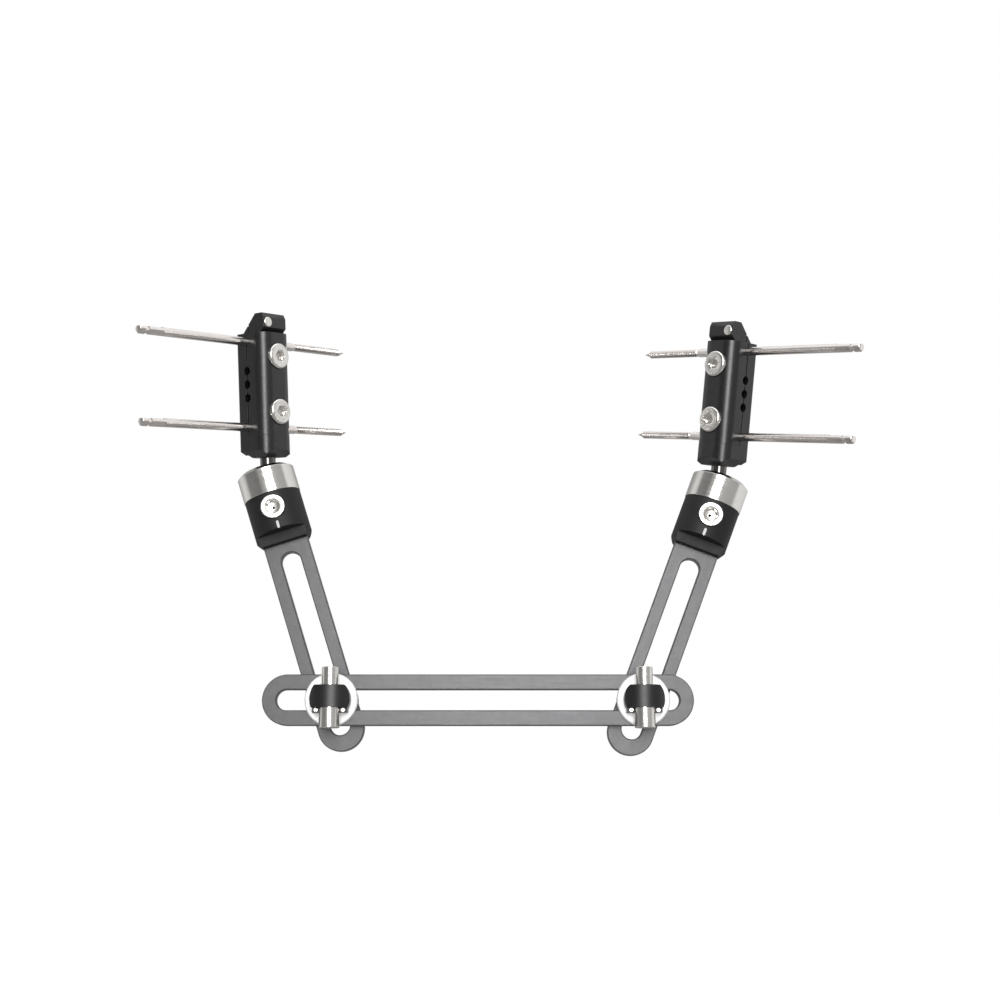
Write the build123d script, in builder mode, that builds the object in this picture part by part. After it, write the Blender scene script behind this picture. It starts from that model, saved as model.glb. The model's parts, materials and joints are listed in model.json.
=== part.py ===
from build123d import *

import os
from math import cos, radians, sin, sqrt
from types import SimpleNamespace

# A pelvic external fixator: a slotted cross bar carries two slotted arms, each arm ends in a
# lockable ball joint, and each ball joint carries a two-part clamp that grips two bone screws.
# Millimetres. The origin is the centre of the cross bar, +X runs along it, +Z is up and
# the front of the frame faces -Y.

# Cross bar
BAR_LENGTH = 297.0
BAR_WIDTH = 35.0
BAR_THICKNESS = 8.0
BAR_END_WALL = 9.7
EDGE_BREAK = 0.6

# Slotted arms
ARM_WIDTH = 32.0
ARM_THICKNESS = 8.0
ARM_END_WALL = 11.3
ARM_SLOT_LENGTH = 134.0
ARM_BRIDGE = 7.7
TANG_WIDTH = 26.0
TANG_LENGTH = 12.8

# Link clamps, where an arm crosses the bar
DISC_RADIUS = 18.2
WASHER_THICKNESS = 3.0
REAR_DISC_RADIUS = 17.0
REAR_DISC_THICKNESS = 3.0
DISC_BREAK = 0.8
BOLT_RADIUS = 4.5
BOLT_HEAD_RADIUS = 9.0
BOLT_HEAD_THICKNESS = 4.0
KEY_WALL = 2.4
KEY_LENGTH = 22.0
GUIDE_LENGTH = 20.0
HEAD_RADIUS = 13.8
HEAD_HEIGHT = 15.2
HEAD_DEPTH = 16.0
HEAD_CROWN_RADIUS = 17.0
LEDGE_WIDTH = 24.0
LEDGE_HEIGHT = 3.2
LEDGE_DEPTH = 7.5
LINK_CAM_RADIUS = 7.0
LINK_CAM_DROP = 13.7
LINK_CAM_CHEEK = 0.5
LINK_WAIST_RADIUS = 2.4
LINK_CAM_THROW = 0.4
CAM_NUT_RADIUS = 5.7
CAM_NUT_RISE = 12.3
CAM_STUD_RADIUS = 1.8
LINK_KEY_SOCKET = 6.0
HEAD_SCREW_RADIUS = 1.1
HEAD_SCREW_CAP_HEIGHT = 1.5
HEAD_SCREW_BREAK = 0.5
HEAD_SCREW_SPAN = 18.4

# Ball joints, measured along the arm's axis from the centre of the ball
BALL_RADIUS = 12.0
NECK_RADIUS = 5.5
SWIVEL_RADIUS = 4.5
RING_TOP = 10.5
RING_BOTTOM = -10.2
RING_CHAMFER_RADIAL = 4.0
RING_CHAMFER_HEIGHT = 2.7
MOUTH_GAP = 1.0
MOUTH_FLARE = 2.5
BUSH_WALL = 3.0
BUSH_TOP = 6.5
BUSH_BOTTOM = -4.0
BUSH_SLIT = 2.0
SPIGOT_WALL = 2.0
SPIGOT_TOP = -2.1
HOUSING_WALL = 3.0
RING_PROUD = 0.4
TANG_COVER = 3.9
ROOT_HEIGHT = 7.0
ROOT_THICKNESS = 20.0
ROOT_SLOPE = 1.0
ROOT_CHAMFER_WIDTH = 4.0
ROOT_CHAMFER_HEIGHT = 4.4
CAM_FLANGE_RADIUS = 8.5
CAM_FLANGE_THICKNESS = 3.4
CAM_JOURNAL_RADIUS = 7.0
CAM_TAIL_RADIUS = 5.0
ECCENTRIC_GAP = 0.5
CAM_THROW = 0.5
CAM_SOCKET = 8.0
CAM_SOCKET_DEPTH = 5.0
THRUST_GAP = 0.15
THRUST_TRAVEL = 0.5
THRUST_ROOM = 0.6
CUP_FLOOR = 2.65
INDEX_WIDTH = 1.9
INDEX_LENGTH = 5.5
INDEX_DEPTH = 0.5
ARM_PIN_RADIUS = 2.0
ARM_PIN_SPAN = 14.0
ARM_PIN_DEPTH = 16.0
CLIP_THICKNESS = 1.0
CLIP_RADIUS = 7.0
CLIP_GROOVE = 0.8
CLIP_SLIT = 4.0

# Pin clamps, measured along the clamp's axis from the centre of the ball
CLAMP_WIDTH = 29.0
CLAMP_THICKNESS = 27.0
BODY_THICKNESS = 9.5
PARTING_GAP = 1.0
BACK_RADIUS = 2.0
SHOULDER_RADIUS = 9.5
CAP_BOTTOM = 19.1
CAP_HEIGHT = 15.4
CAP_CHAMFER = 5.0
CAP_FLOOR = 4.5
CAP_POCKET_RADIUS = 10.5
BODY_HEIGHT = 73.3
SEAT_PITCH = 9.65
SEAT_MARGIN = 6.1
SCREW_TO_SEAT = 10.7
LUG_WIDTH = 22.0
LUG_SHIFT = 1.2
LUG_HEIGHT = 13.7
LUG_SLOPE_RUN = 12.5
LUG_FRONT_INSET = 1.4
LUG_NOTCH = 3.4
LUG_PIN_RADIUS = 3.7
LUG_PIN_SIDE = 7.6
LUG_PIN_STAND = 0.6
STEM_NUT_SPAN = 15.0
STEM_NUT_HEIGHT = 6.5
CAP_SCREW_RADIUS = 2.0
CAP_SCREW_CAP_RADIUS = 3.0
CAP_SCREW_SINK = 3.0
CAP_SCREW_SIDE = 8.4
CAP_SCREW_WALL = 0.4
CAP_SCREW_GRIP = 9.0

# Clamp screws
SCREW_CAP_RADIUS = 9.2
SCREW_CAP_HEIGHT = 4.6
SCREW_CAP_CHAMFER = 1.8
SPOTFACE_DEPTH = 2.4
SCREW_SHANK_RADIUS = 4.0
SCREW_END_GAP = 1.5
SCREW_SOCKET = 7.0
SCREW_SOCKET_DEPTH = 3.4

# Bone screws
BONE_SCREW_RADIUS = 3.0
BONE_SCREW_LENGTH = 200.0
OUTER_REACH = 97.5
THREAD_LENGTH = 56.0
THREAD_SCREW_RADIUS = 2.75
TIP_LENGTH = 7.0
TIP_RADIUS = 0.6
CHUCK_LENGTH = 20.0
CHUCK_FLAT = 0.6
CHUCK_GROOVE_FROM_END = 5.0
CHUCK_GROOVE_LENGTH = 3.0
CHUCK_GROOVE_RADIUS = 2.2

# Clearances
RUN = 0.05
FACE_GAP = 0.1
ROOM = 0.2
OVERCUT = 1.0

# Where each side stands: the link's distance from the end of the bar's slot, the arm's place on
# its link and the angles of the arm and the clamp
SIDES = {
    "left": dict(outward=-1, link_inset=38.2, link_rise=35.7, arm_lean=18.0,
                 clamp_lean=2.0, clamp_forward=10.5, screw_angle=36.0),
    "right": dict(outward=1, link_inset=25.3, link_rise=39.1, arm_lean=21.0,
                  clamp_lean=5.2, clamp_forward=11.4, screw_angle=40.0),
}

# Worked out from the sizes above
BAR_FRONT = -BAR_THICKNESS / 2
BAR_BACK = BAR_THICKNESS / 2
BAR_SLOT_END = BAR_LENGTH / 2 - BAR_END_WALL
SLOT_WIDTH = 2 * (BOLT_RADIUS + FACE_GAP + KEY_WALL)
ARM_MID = BAR_BACK + ARM_THICKNESS / 2
ARM_BACK = BAR_BACK + ARM_THICKNESS
REAR_DISC_BACK = ARM_BACK + REAR_DISC_THICKNESS
HEAD_BACK = BAR_FRONT - WASHER_THICKNESS
HEAD_FRONT = HEAD_BACK - HEAD_DEPTH
HEAD_BOTTOM = (LEDGE_HEIGHT - HEAD_HEIGHT) / 2
HEAD_TOP = HEAD_BOTTOM + HEAD_HEIGHT
LEDGE_MIDDLE = HEAD_BOTTOM - LEDGE_HEIGHT / 2
HEAD_SCREW_CAP_RADIUS = LEDGE_HEIGHT / 2 - FACE_GAP
LINK_CAM_BOTTOM = HEAD_BOTTOM - LINK_CAM_DROP
CAM_NUT_TOP = HEAD_TOP + CAM_NUT_RISE
LINK_CAM_Y = HEAD_BACK - HEAD_DEPTH / 2
LINK_CAM_SHOULDER = BOLT_RADIUS + LINK_CAM_CHEEK
EYE_RADIUS = LINK_WAIST_RADIUS + LINK_CAM_THROW + ROOM
BUSH_RADIUS = BALL_RADIUS + BUSH_WALL
THREAD_RADIUS = BUSH_RADIUS + SPIGOT_WALL
HOUSING_RADIUS = THREAD_RADIUS + HOUSING_WALL
RING_RADIUS = HOUSING_RADIUS + RING_PROUD
RING_SEAT = BUSH_TOP + FACE_GAP
MOUTH_RADIUS = sqrt(BALL_RADIUS**2 - RING_SEAT**2) + MOUTH_GAP
ECCENTRIC_RADIUS = CAM_JOURNAL_RADIUS - CAM_THROW - ECCENTRIC_GAP
THRUST_TOP = BUSH_BOTTOM - THRUST_ROOM
THRUST_BOTTOM = -BALL_RADIUS - CUP_FLOOR
CAM_DROP = THRUST_GAP + ECCENTRIC_RADIUS + CAM_THROW - THRUST_BOTTOM
CHAMBER_FLOOR = THRUST_BOTTOM - THRUST_TRAVEL - ROOM
HOUSING_BOTTOM = -CAM_DROP - CAM_JOURNAL_RADIUS - TANG_COVER - TANG_LENGTH
BALL_HEIGHT = ARM_END_WALL + ARM_SLOT_LENGTH + ARM_BRIDGE - HOUSING_BOTTOM
CAM_SPOT = sqrt(HOUSING_RADIUS**2 - CAM_FLANGE_RADIUS**2) - ROOM
CAM_REACH = BUSH_RADIUS + ROOM
CLAMP_BACK = -CLAMP_THICKNESS / 2
CLAMP_FRONT = CLAMP_THICKNESS / 2
BODY_FRONT = CLAMP_BACK + BODY_THICKNESS
COVER_BACK = BODY_FRONT + PARTING_GAP
SEAT_Y = (BODY_FRONT + COVER_BACK) / 2
SEAT_RADIUS = BONE_SCREW_RADIUS + RUN
SEAM = CAP_BOTTOM + CAP_HEIGHT
CLAMP_MIDDLE = SEAM + BODY_HEIGHT / 2
CLAMP_TOP = SEAM + BODY_HEIGHT
GRIPPED = {"lower": SEAM + SEAT_MARGIN, "upper": CLAMP_TOP - SEAT_MARGIN}
SCREWS = {"lower": GRIPPED["lower"] + SCREW_TO_SEAT, "upper": GRIPPED["upper"] - SCREW_TO_SEAT}
EMPTY_SEATS = [CLAMP_MIDDLE - SEAT_PITCH, CLAMP_MIDDLE, CLAMP_MIDDLE + SEAT_PITCH]
SPOTFACE = CLAMP_FRONT - SPOTFACE_DEPTH
CAP_SCREW_Y = SEAT_Y - SEAT_RADIUS - CAP_SCREW_WALL - CAP_SCREW_RADIUS


def section_of(at):
    """The plane through at's Z axis in which a turned piece's half profile is drawn."""
    return Plane(origin=at.origin, x_dir=at.x_dir, z_dir=at.y_dir * -1)


def side_of(at, x=0.0):
    """The plane across at's X axis at x, drawn in at's Y and Z."""
    return Plane(origin=at.from_local_coords((x, 0, 0)), x_dir=at.y_dir, z_dir=at.x_dir)


def front_of(at, y=0.0):
    """The plane across at's Y axis at y, drawn in at's X and Z, facing at's -Y."""
    return Plane(origin=at.from_local_coords((0, y, 0)), x_dir=at.x_dir, z_dir=at.y_dir * -1)


def axis_of(at):
    return Axis(at.origin, at.z_dir)


def save(piece, name):
    piece.part.label = name
    export_step(piece.part, f"parts/{name}.step")


def place(outward, link_inset, link_rise, arm_lean, clamp_lean, clamp_forward, screw_angle):
    """The planes that one side's pieces are built on."""
    lean = radians(arm_lean)
    along = Vector(outward * sin(lean), 0, cos(lean))
    across = Vector(cos(lean), 0, -outward * sin(lean))
    link = Vector(outward * (BAR_SLOT_END - link_inset), 0, 0)
    foot = link + Vector(0, ARM_MID, 0) - along * link_rise
    ball = foot + along * BALL_HEIGHT
    upright = Vector(outward * sin(radians(clamp_lean)), -sin(radians(clamp_forward)), 0)
    upright += Vector(0, 0, sqrt(1 - upright.length**2))
    level = Vector(outward * sin(radians(screw_angle)), -cos(radians(screw_angle)), 0)
    screw_out = (level - upright * level.dot(upright)).normalized()
    return SimpleNamespace(
        outward=outward,
        link=Plane(origin=link, x_dir=(1, 0, 0), z_dir=(0, 0, 1)),
        slot=Plane(origin=link, x_dir=across, z_dir=along),
        arm=Plane(origin=foot, x_dir=across, z_dir=along),
        joint=Plane(origin=ball, x_dir=across, z_dir=along),
        clamp=Plane(origin=ball, x_dir=screw_out * -outward, z_dir=upright),
    )


def make_cross_bar():
    from_end = Plane(origin=(-BAR_LENGTH / 2, BAR_BACK, 0), x_dir=(0, 0, -1), z_dir=(0, -1, 0))
    with BuildPart() as bar:
        with BuildSketch(from_end):
            with Locations((0, BAR_LENGTH / 2)):
                SlotOverall(BAR_LENGTH, BAR_WIDTH, rotation=90)
                SlotOverall(2 * BAR_SLOT_END, SLOT_WIDTH, rotation=90, mode=Mode.SUBTRACT)
        extrude(amount=BAR_THICKNESS)
        chamfer(bar.faces().filter_by(Axis.Y).edges(), EDGE_BREAK)
    return bar


def make_slotted_arm(side):
    slot_top = ARM_END_WALL + ARM_SLOT_LENGTH
    shoulder = slot_top + ARM_BRIDGE
    with BuildPart() as arm:
        with BuildSketch(front_of(side.arm, ARM_THICKNESS / 2)):
            with Locations((0, ARM_WIDTH / 2)):
                Circle(ARM_WIDTH / 2)
            with Locations((0, (ARM_WIDTH / 2 + shoulder) / 2)):
                Rectangle(ARM_WIDTH, shoulder - ARM_WIDTH / 2)
            with Locations((0, (ARM_END_WALL + slot_top) / 2)):
                SlotOverall(ARM_SLOT_LENGTH, SLOT_WIDTH, rotation=90, mode=Mode.SUBTRACT)
        extrude(amount=ARM_THICKNESS)
        broad = arm.faces().filter_by(Axis.Y).edges()
        chamfer([e for e in broad if e.distance_to(side.arm.from_local_coords((0, 0, shoulder))) > ROOM],
                EDGE_BREAK)
        with BuildSketch(front_of(side.arm, ARM_THICKNESS / 2)):
            with Locations((0, shoulder + TANG_LENGTH / 2)):
                Rectangle(TANG_WIDTH, TANG_LENGTH)
        extrude(amount=ARM_THICKNESS)
        with BuildSketch(front_of(side.joint, ARM_THICKNESS / 2)):
            with Locations((0, arm_pin_height())):
                with GridLocations(ARM_PIN_SPAN, 0, 2, 1):
                    Circle(ARM_PIN_RADIUS)
        extrude(amount=ARM_THICKNESS, mode=Mode.SUBTRACT)
    return arm


def arm_pin_height():
    return HOUSING_BOTTOM + ROOT_HEIGHT / 2


def make_arm_pins(side):
    with BuildPart() as pins:
        with BuildSketch(front_of(side.joint, ROOT_THICKNESS / 2)):
            with Locations((0, arm_pin_height())):
                with GridLocations(ARM_PIN_SPAN, 0, 2, 1):
                    Circle(ARM_PIN_RADIUS)
        extrude(amount=ARM_PIN_DEPTH)
    return pins


def make_front_washer(side):
    """The bright disc before the bar, with a key that slides in the bar's slot."""
    with BuildPart() as washer:
        with BuildSketch(front_of(side.link, BAR_FRONT)):
            Circle(DISC_RADIUS)
        extrude(amount=WASHER_THICKNESS)
        chamfer(washer.faces().sort_by(Axis.Y)[0].edges(), DISC_BREAK)
        with BuildSketch(front_of(side.link, BAR_FRONT)):
            SlotOverall(KEY_LENGTH, SLOT_WIDTH - 2 * RUN)
        extrude(amount=-(BAR_THICKNESS - ROOM))
        with BuildSketch(front_of(side.link, BAR_BACK)):
            Circle(BOLT_RADIUS + FACE_GAP)
            with Locations((0, LEDGE_MIDDLE)):
                with GridLocations(HEAD_SCREW_SPAN, 0, 2, 1):
                    Circle(HEAD_SCREW_RADIUS)
        extrude(amount=BAR_THICKNESS + WASHER_THICKNESS, mode=Mode.SUBTRACT)
    return washer


def make_cam_head(side):
    """The black head: a disc with flats above and below and a front crowned about Z."""
    with BuildPart() as head:
        with BuildSketch(front_of(side.link, HEAD_BACK)):
            Circle(HEAD_RADIUS)
            with Locations((0, (HEAD_BOTTOM + HEAD_TOP) / 2)):
                Rectangle(2 * HEAD_RADIUS, HEAD_HEIGHT, mode=Mode.INTERSECT)
        extrude(amount=HEAD_DEPTH)
        with BuildSketch(side.link.offset(HEAD_BOTTOM)):
            with Locations((0, HEAD_FRONT + HEAD_CROWN_RADIUS)):
                Circle(HEAD_CROWN_RADIUS)
        extrude(amount=HEAD_HEIGHT, mode=Mode.INTERSECT)
        with BuildSketch(front_of(side.link, HEAD_BACK)):
            with Locations((0, LEDGE_MIDDLE)):
                Rectangle(LEDGE_WIDTH, LEDGE_HEIGHT)
        extrude(amount=LEDGE_DEPTH)
        with BuildSketch(front_of(side.link, HEAD_BACK)):
            Circle(BOLT_RADIUS + FACE_GAP)
        extrude(amount=bolt_reach() + ROOM - WASHER_THICKNESS - BAR_THICKNESS / 2, mode=Mode.SUBTRACT)
        with BuildSketch(side.link.offset(HEAD_BOTTOM - LEDGE_HEIGHT)):
            with Locations((0, LINK_CAM_Y)):
                Circle(LINK_CAM_RADIUS + RUN)
        extrude(amount=LINK_CAM_SHOULDER + LEDGE_HEIGHT - HEAD_BOTTOM, mode=Mode.SUBTRACT)
        with BuildSketch(side.link):
            with Locations((0, LINK_CAM_Y)):
                Circle(CAM_NUT_RADIUS + RUN)
        extrude(amount=HEAD_HEIGHT, mode=Mode.SUBTRACT)
        with BuildSketch(front_of(side.link, HEAD_BACK)):
            with Locations((0, LEDGE_MIDDLE)):
                with GridLocations(HEAD_SCREW_SPAN, 0, 2, 1):
                    Circle(HEAD_SCREW_RADIUS)
        extrude(amount=LEDGE_DEPTH, mode=Mode.SUBTRACT)
    return head


def make_head_screws(side):
    """Two small screws through the head's ledge into the washer."""
    with BuildPart() as screws:
        with BuildSketch(front_of(side.link, BAR_FRONT)):
            with Locations((0, LEDGE_MIDDLE)):
                with GridLocations(HEAD_SCREW_SPAN, 0, 2, 1):
                    Circle(HEAD_SCREW_RADIUS)
        extrude(amount=WASHER_THICKNESS + LEDGE_DEPTH)
        with BuildSketch(front_of(side.link, HEAD_BACK - LEDGE_DEPTH)):
            with Locations((0, LEDGE_MIDDLE)):
                with GridLocations(HEAD_SCREW_SPAN, 0, 2, 1):
                    Circle(HEAD_SCREW_CAP_RADIUS)
        extrude(amount=HEAD_SCREW_CAP_HEIGHT)
        chamfer(screws.faces().sort_by(Axis.Y)[:2].edges(), HEAD_SCREW_BREAK)
    return screws


def bolt_reach():
    """How far the bolt runs forward of the bar's mid plane."""
    return -LINK_CAM_Y + EYE_RADIUS + BOLT_RADIUS / 2


def make_rear_disc(side):
    """The black disc between the arm and the bolt's head."""
    with BuildPart() as disc:
        with BuildSketch(front_of(side.link, REAR_DISC_BACK)):
            Circle(REAR_DISC_RADIUS)
        extrude(amount=REAR_DISC_THICKNESS)
        chamfer(disc.faces().filter_by(Axis.Y).edges(), DISC_BREAK)
        with BuildSketch(front_of(side.link, REAR_DISC_BACK)):
            Circle(BOLT_RADIUS + RUN)
        extrude(amount=REAR_DISC_THICKNESS, mode=Mode.SUBTRACT)
    return disc


def make_link_bolt(side):
    """The bolt behind the rear disc, drawn forward by the cam in its eye."""
    with BuildPart() as bolt:
        with BuildSketch(front_of(side.link, REAR_DISC_BACK + BOLT_HEAD_THICKNESS)):
            Circle(BOLT_HEAD_RADIUS)
        extrude(amount=BOLT_HEAD_THICKNESS)
        chamfer(bolt.faces().filter_by(Axis.Y).edges(), DISC_BREAK)
        with BuildSketch(front_of(side.link, REAR_DISC_BACK)):
            Circle(BOLT_RADIUS)
        extrude(amount=REAR_DISC_BACK + bolt_reach())
        with BuildSketch(side.link.offset(-BOLT_RADIUS - OVERCUT)):
            with Locations((0, LINK_CAM_Y)):
                Circle(EYE_RADIUS)
        extrude(amount=2 * (BOLT_RADIUS + OVERCUT), mode=Mode.SUBTRACT)
    return bolt


def make_arm_guide(side):
    """The block that slides in the arm's slot and turns on the bolt."""
    with BuildPart() as guide:
        with BuildSketch(front_of(side.slot, ARM_BACK - FACE_GAP)):
            SlotOverall(GUIDE_LENGTH, SLOT_WIDTH - 2 * RUN, rotation=90)
            Circle(BOLT_RADIUS + RUN, mode=Mode.SUBTRACT)
        extrude(amount=ARM_THICKNESS - 2 * FACE_GAP)
    return guide


def make_link_cam(side):
    with BuildPart() as cam:
        with BuildSketch(side.link.offset(LINK_CAM_BOTTOM)):
            with Locations((0, LINK_CAM_Y)):
                Circle(LINK_CAM_RADIUS)
        extrude(amount=-LINK_CAM_SHOULDER - LINK_CAM_BOTTOM)
        chamfer(cam.faces().sort_by(Axis.Z)[0].edges(), EDGE_BREAK)
        with BuildSketch(side.link.offset(-LINK_CAM_SHOULDER)):
            with Locations((0, LINK_CAM_Y - LINK_CAM_THROW)):
                Circle(LINK_WAIST_RADIUS)
        extrude(amount=2 * LINK_CAM_SHOULDER)
        with BuildSketch(side.link.offset(LINK_CAM_SHOULDER)):
            with Locations((0, LINK_CAM_Y)):
                Circle(CAM_STUD_RADIUS)
        extrude(amount=CAM_NUT_TOP - LINK_CAM_SHOULDER - OVERCUT)
        with BuildSketch(side.link.offset(LINK_CAM_BOTTOM)):
            with Locations((0, LINK_CAM_Y)):
                RegularPolygon(LINK_KEY_SOCKET / 2, 6, major_radius=False)
        extrude(amount=LINK_KEY_SOCKET, mode=Mode.SUBTRACT)
    return cam


def make_cam_nut(side):
    """The sleeve on the cam's upper end, fixed on its stud."""
    with BuildPart() as nut:
        with BuildSketch(side.link.offset(LINK_CAM_SHOULDER)):
            with Locations((0, LINK_CAM_Y)):
                Circle(CAM_NUT_RADIUS)
        extrude(amount=CAM_NUT_TOP - LINK_CAM_SHOULDER)
        chamfer(nut.faces().sort_by(Axis.Z)[-1].edges(), EDGE_BREAK)
        with BuildSketch(side.link.offset(LINK_CAM_SHOULDER)):
            with Locations((0, LINK_CAM_Y)):
                Circle(CAM_STUD_RADIUS)
        extrude(amount=CAM_NUT_TOP - LINK_CAM_SHOULDER, mode=Mode.SUBTRACT)
    return nut


def make_lock_ring(side):
    """The steel ring that screws on the housing and holds the ball in its bush."""
    shoulder = RING_TOP - RING_CHAMFER_HEIGHT
    top_radius = RING_RADIUS - RING_CHAMFER_RADIAL
    with BuildPart() as ring:
        with BuildSketch(section_of(side.joint)):
            with BuildLine():
                Polyline(
                    (THREAD_RADIUS, RING_BOTTOM), (RING_RADIUS, RING_BOTTOM), (RING_RADIUS, shoulder),
                    (top_radius, RING_TOP), (MOUTH_RADIUS + MOUTH_FLARE, RING_TOP),
                    (MOUTH_RADIUS, RING_SEAT), (BUSH_RADIUS + RUN, RING_SEAT),
                    (BUSH_RADIUS + RUN, SPIGOT_TOP),
                    (THREAD_RADIUS, SPIGOT_TOP), close=True,
                )
            make_face()
        revolve(axis=axis_of(side.joint))
    return ring


def make_joint_housing(side):
    at = side.joint
    root_top = HOUSING_BOTTOM + ROOT_HEIGHT
    flat = ROOT_THICKNESS / 2
    edge = HOUSING_RADIUS - ROOT_CHAMFER_WIDTH
    with BuildPart() as housing:
        with BuildSketch(at.offset(HOUSING_BOTTOM)):
            Circle(HOUSING_RADIUS)
        extrude(amount=RING_BOTTOM - HOUSING_BOTTOM)
        with BuildSketch(at.offset(RING_BOTTOM)):
            Circle(THREAD_RADIUS - RUN)
        extrude(amount=SPIGOT_TOP - RING_BOTTOM)
        # The root narrows to a block before and behind, through a sloping underside
        with BuildSketch(side_of(at, -HOUSING_RADIUS)) as outside:
            for turn in (1, -1):
                with BuildLine():
                    Polyline(
                        (turn * flat, HOUSING_BOTTOM - OVERCUT), (turn * flat, root_top),
                        (turn * HOUSING_RADIUS, root_top + ROOT_SLOPE),
                        (turn * (HOUSING_RADIUS + OVERCUT), root_top + ROOT_SLOPE),
                        (turn * (HOUSING_RADIUS + OVERCUT), HOUSING_BOTTOM - OVERCUT), close=True,
                    )
                make_face()
        extrude(amount=2 * HOUSING_RADIUS, mode=Mode.SUBTRACT)
        # Its lower corners slope in towards the arm
        with BuildSketch(front_of(at, HOUSING_RADIUS)):
            for turn in (1, -1):
                with BuildLine():
                    Polyline(
                        (turn * edge, HOUSING_BOTTOM),
                        (turn * HOUSING_RADIUS, HOUSING_BOTTOM + ROOT_CHAMFER_HEIGHT),
                        (turn * (HOUSING_RADIUS + OVERCUT), HOUSING_BOTTOM), close=True,
                    )
                make_face()
        extrude(amount=2 * HOUSING_RADIUS, mode=Mode.SUBTRACT)
        # Chamber of the bush and the thrust piece
        with BuildSketch(at.offset(CHAMBER_FLOOR)):
            Circle(BUSH_RADIUS + RUN)
        extrude(amount=SPIGOT_TOP - CHAMBER_FLOOR, mode=Mode.SUBTRACT)
        # Cross bore of the cam, stepped down towards the back
        with BuildSketch(front_of(at, CAM_REACH)):
            with Locations((0, -CAM_DROP)):
                Circle(CAM_JOURNAL_RADIUS + RUN)
        extrude(amount=CAM_REACH + HOUSING_RADIUS, mode=Mode.SUBTRACT)
        with BuildSketch(front_of(at, HOUSING_RADIUS)):
            with Locations((0, -CAM_DROP)):
                Circle(CAM_TAIL_RADIUS + RUN)
        extrude(amount=HOUSING_RADIUS, mode=Mode.SUBTRACT)
        with BuildSketch(front_of(at, HOUSING_RADIUS)):
            with Locations((0, -CAM_DROP)):
                Circle(CLIP_RADIUS + ROOM)
        extrude(amount=HOUSING_RADIUS - clip_seat(), mode=Mode.SUBTRACT)
        with BuildSketch(front_of(at, -CAM_SPOT)):
            with Locations((0, -CAM_DROP)):
                Circle(CAM_FLANGE_RADIUS + ROOM)
        extrude(amount=HOUSING_RADIUS, mode=Mode.SUBTRACT)
        # Slot and pin holes for the arm's tang
        with BuildSketch(at.offset(HOUSING_BOTTOM)):
            Rectangle(TANG_WIDTH + 2 * FACE_GAP, ARM_THICKNESS)
        extrude(amount=TANG_LENGTH + FACE_GAP, mode=Mode.SUBTRACT)
        with BuildSketch(front_of(at, flat)):
            with Locations((0, arm_pin_height())):
                with GridLocations(ARM_PIN_SPAN, 0, 2, 1):
                    Circle(ARM_PIN_RADIUS)
        extrude(amount=ARM_PIN_DEPTH, mode=Mode.SUBTRACT)
        # Index mark below the cam
        with BuildSketch(front_of(at, -HOUSING_RADIUS + INDEX_DEPTH)):
            with Locations((0, -CAM_DROP - CAM_FLANGE_RADIUS - INDEX_WIDTH - INDEX_LENGTH / 2)):
                SlotOverall(INDEX_LENGTH, INDEX_WIDTH, rotation=90)
        extrude(amount=OVERCUT, mode=Mode.SUBTRACT)
    return housing


def clip_seat():
    """How far behind the joint's axis the cam's retaining clip sits."""
    return sqrt(HOUSING_RADIUS**2 - CLIP_RADIUS**2) - CLIP_THICKNESS - ROOM


def make_joint_cam(side):
    """The cross shaft whose eccentric lifts the thrust piece against the ball."""
    at = side.joint
    tail_end = clip_seat() + 2 * CLIP_THICKNESS
    with BuildPart() as cam:
        with BuildSketch(front_of(at, -CAM_SPOT)):
            with Locations((0, -CAM_DROP)):
                Circle(CAM_FLANGE_RADIUS)
        extrude(amount=CAM_FLANGE_THICKNESS)
        chamfer(cam.faces().sort_by(Axis.Y)[0].edges(), EDGE_BREAK)
        with BuildSketch(front_of(at, -CAM_REACH)):
            with Locations((0, -CAM_DROP)):
                Circle(CAM_JOURNAL_RADIUS)
        extrude(amount=CAM_SPOT - CAM_REACH)
        with BuildSketch(front_of(at, CAM_REACH - FACE_GAP)):
            with Locations((0, -CAM_DROP + CAM_THROW)):
                Circle(ECCENTRIC_RADIUS)
        extrude(amount=2 * CAM_REACH - FACE_GAP)
        with BuildSketch(front_of(at, tail_end)):
            with Locations((0, -CAM_DROP)):
                Circle(CAM_TAIL_RADIUS)
        extrude(amount=tail_end - CAM_REACH + FACE_GAP)
        with BuildSketch(front_of(at, clip_seat() + CLIP_THICKNESS)):
            with Locations((0, -CAM_DROP)):
                Circle(CAM_TAIL_RADIUS + OVERCUT)
                Circle(CAM_TAIL_RADIUS - CLIP_GROOVE, mode=Mode.SUBTRACT)
        extrude(amount=CLIP_THICKNESS, mode=Mode.SUBTRACT)
        with BuildSketch(front_of(at, -CAM_SPOT - CAM_FLANGE_THICKNESS + CAM_SOCKET_DEPTH)):
            with Locations((0, -CAM_DROP)):
                RegularPolygon(CAM_SOCKET / 2, 6, major_radius=False)
        extrude(amount=CAM_SOCKET_DEPTH, mode=Mode.SUBTRACT)
    return cam


def make_cam_clip(side):
    """The open retaining clip in the groove of the cam's tail."""
    with BuildPart() as clip:
        with BuildSketch(front_of(side.joint, clip_seat() + CLIP_THICKNESS)):
            with Locations((0, -CAM_DROP)):
                Circle(CLIP_RADIUS)
                Circle(CAM_TAIL_RADIUS - CLIP_GROOVE, mode=Mode.SUBTRACT)
            with Locations((0, -CAM_DROP - CLIP_RADIUS / 2)):
                Rectangle(CLIP_SLIT, CLIP_RADIUS + OVERCUT, mode=Mode.SUBTRACT)
        extrude(amount=CLIP_THICKNESS)
    return clip


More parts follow.
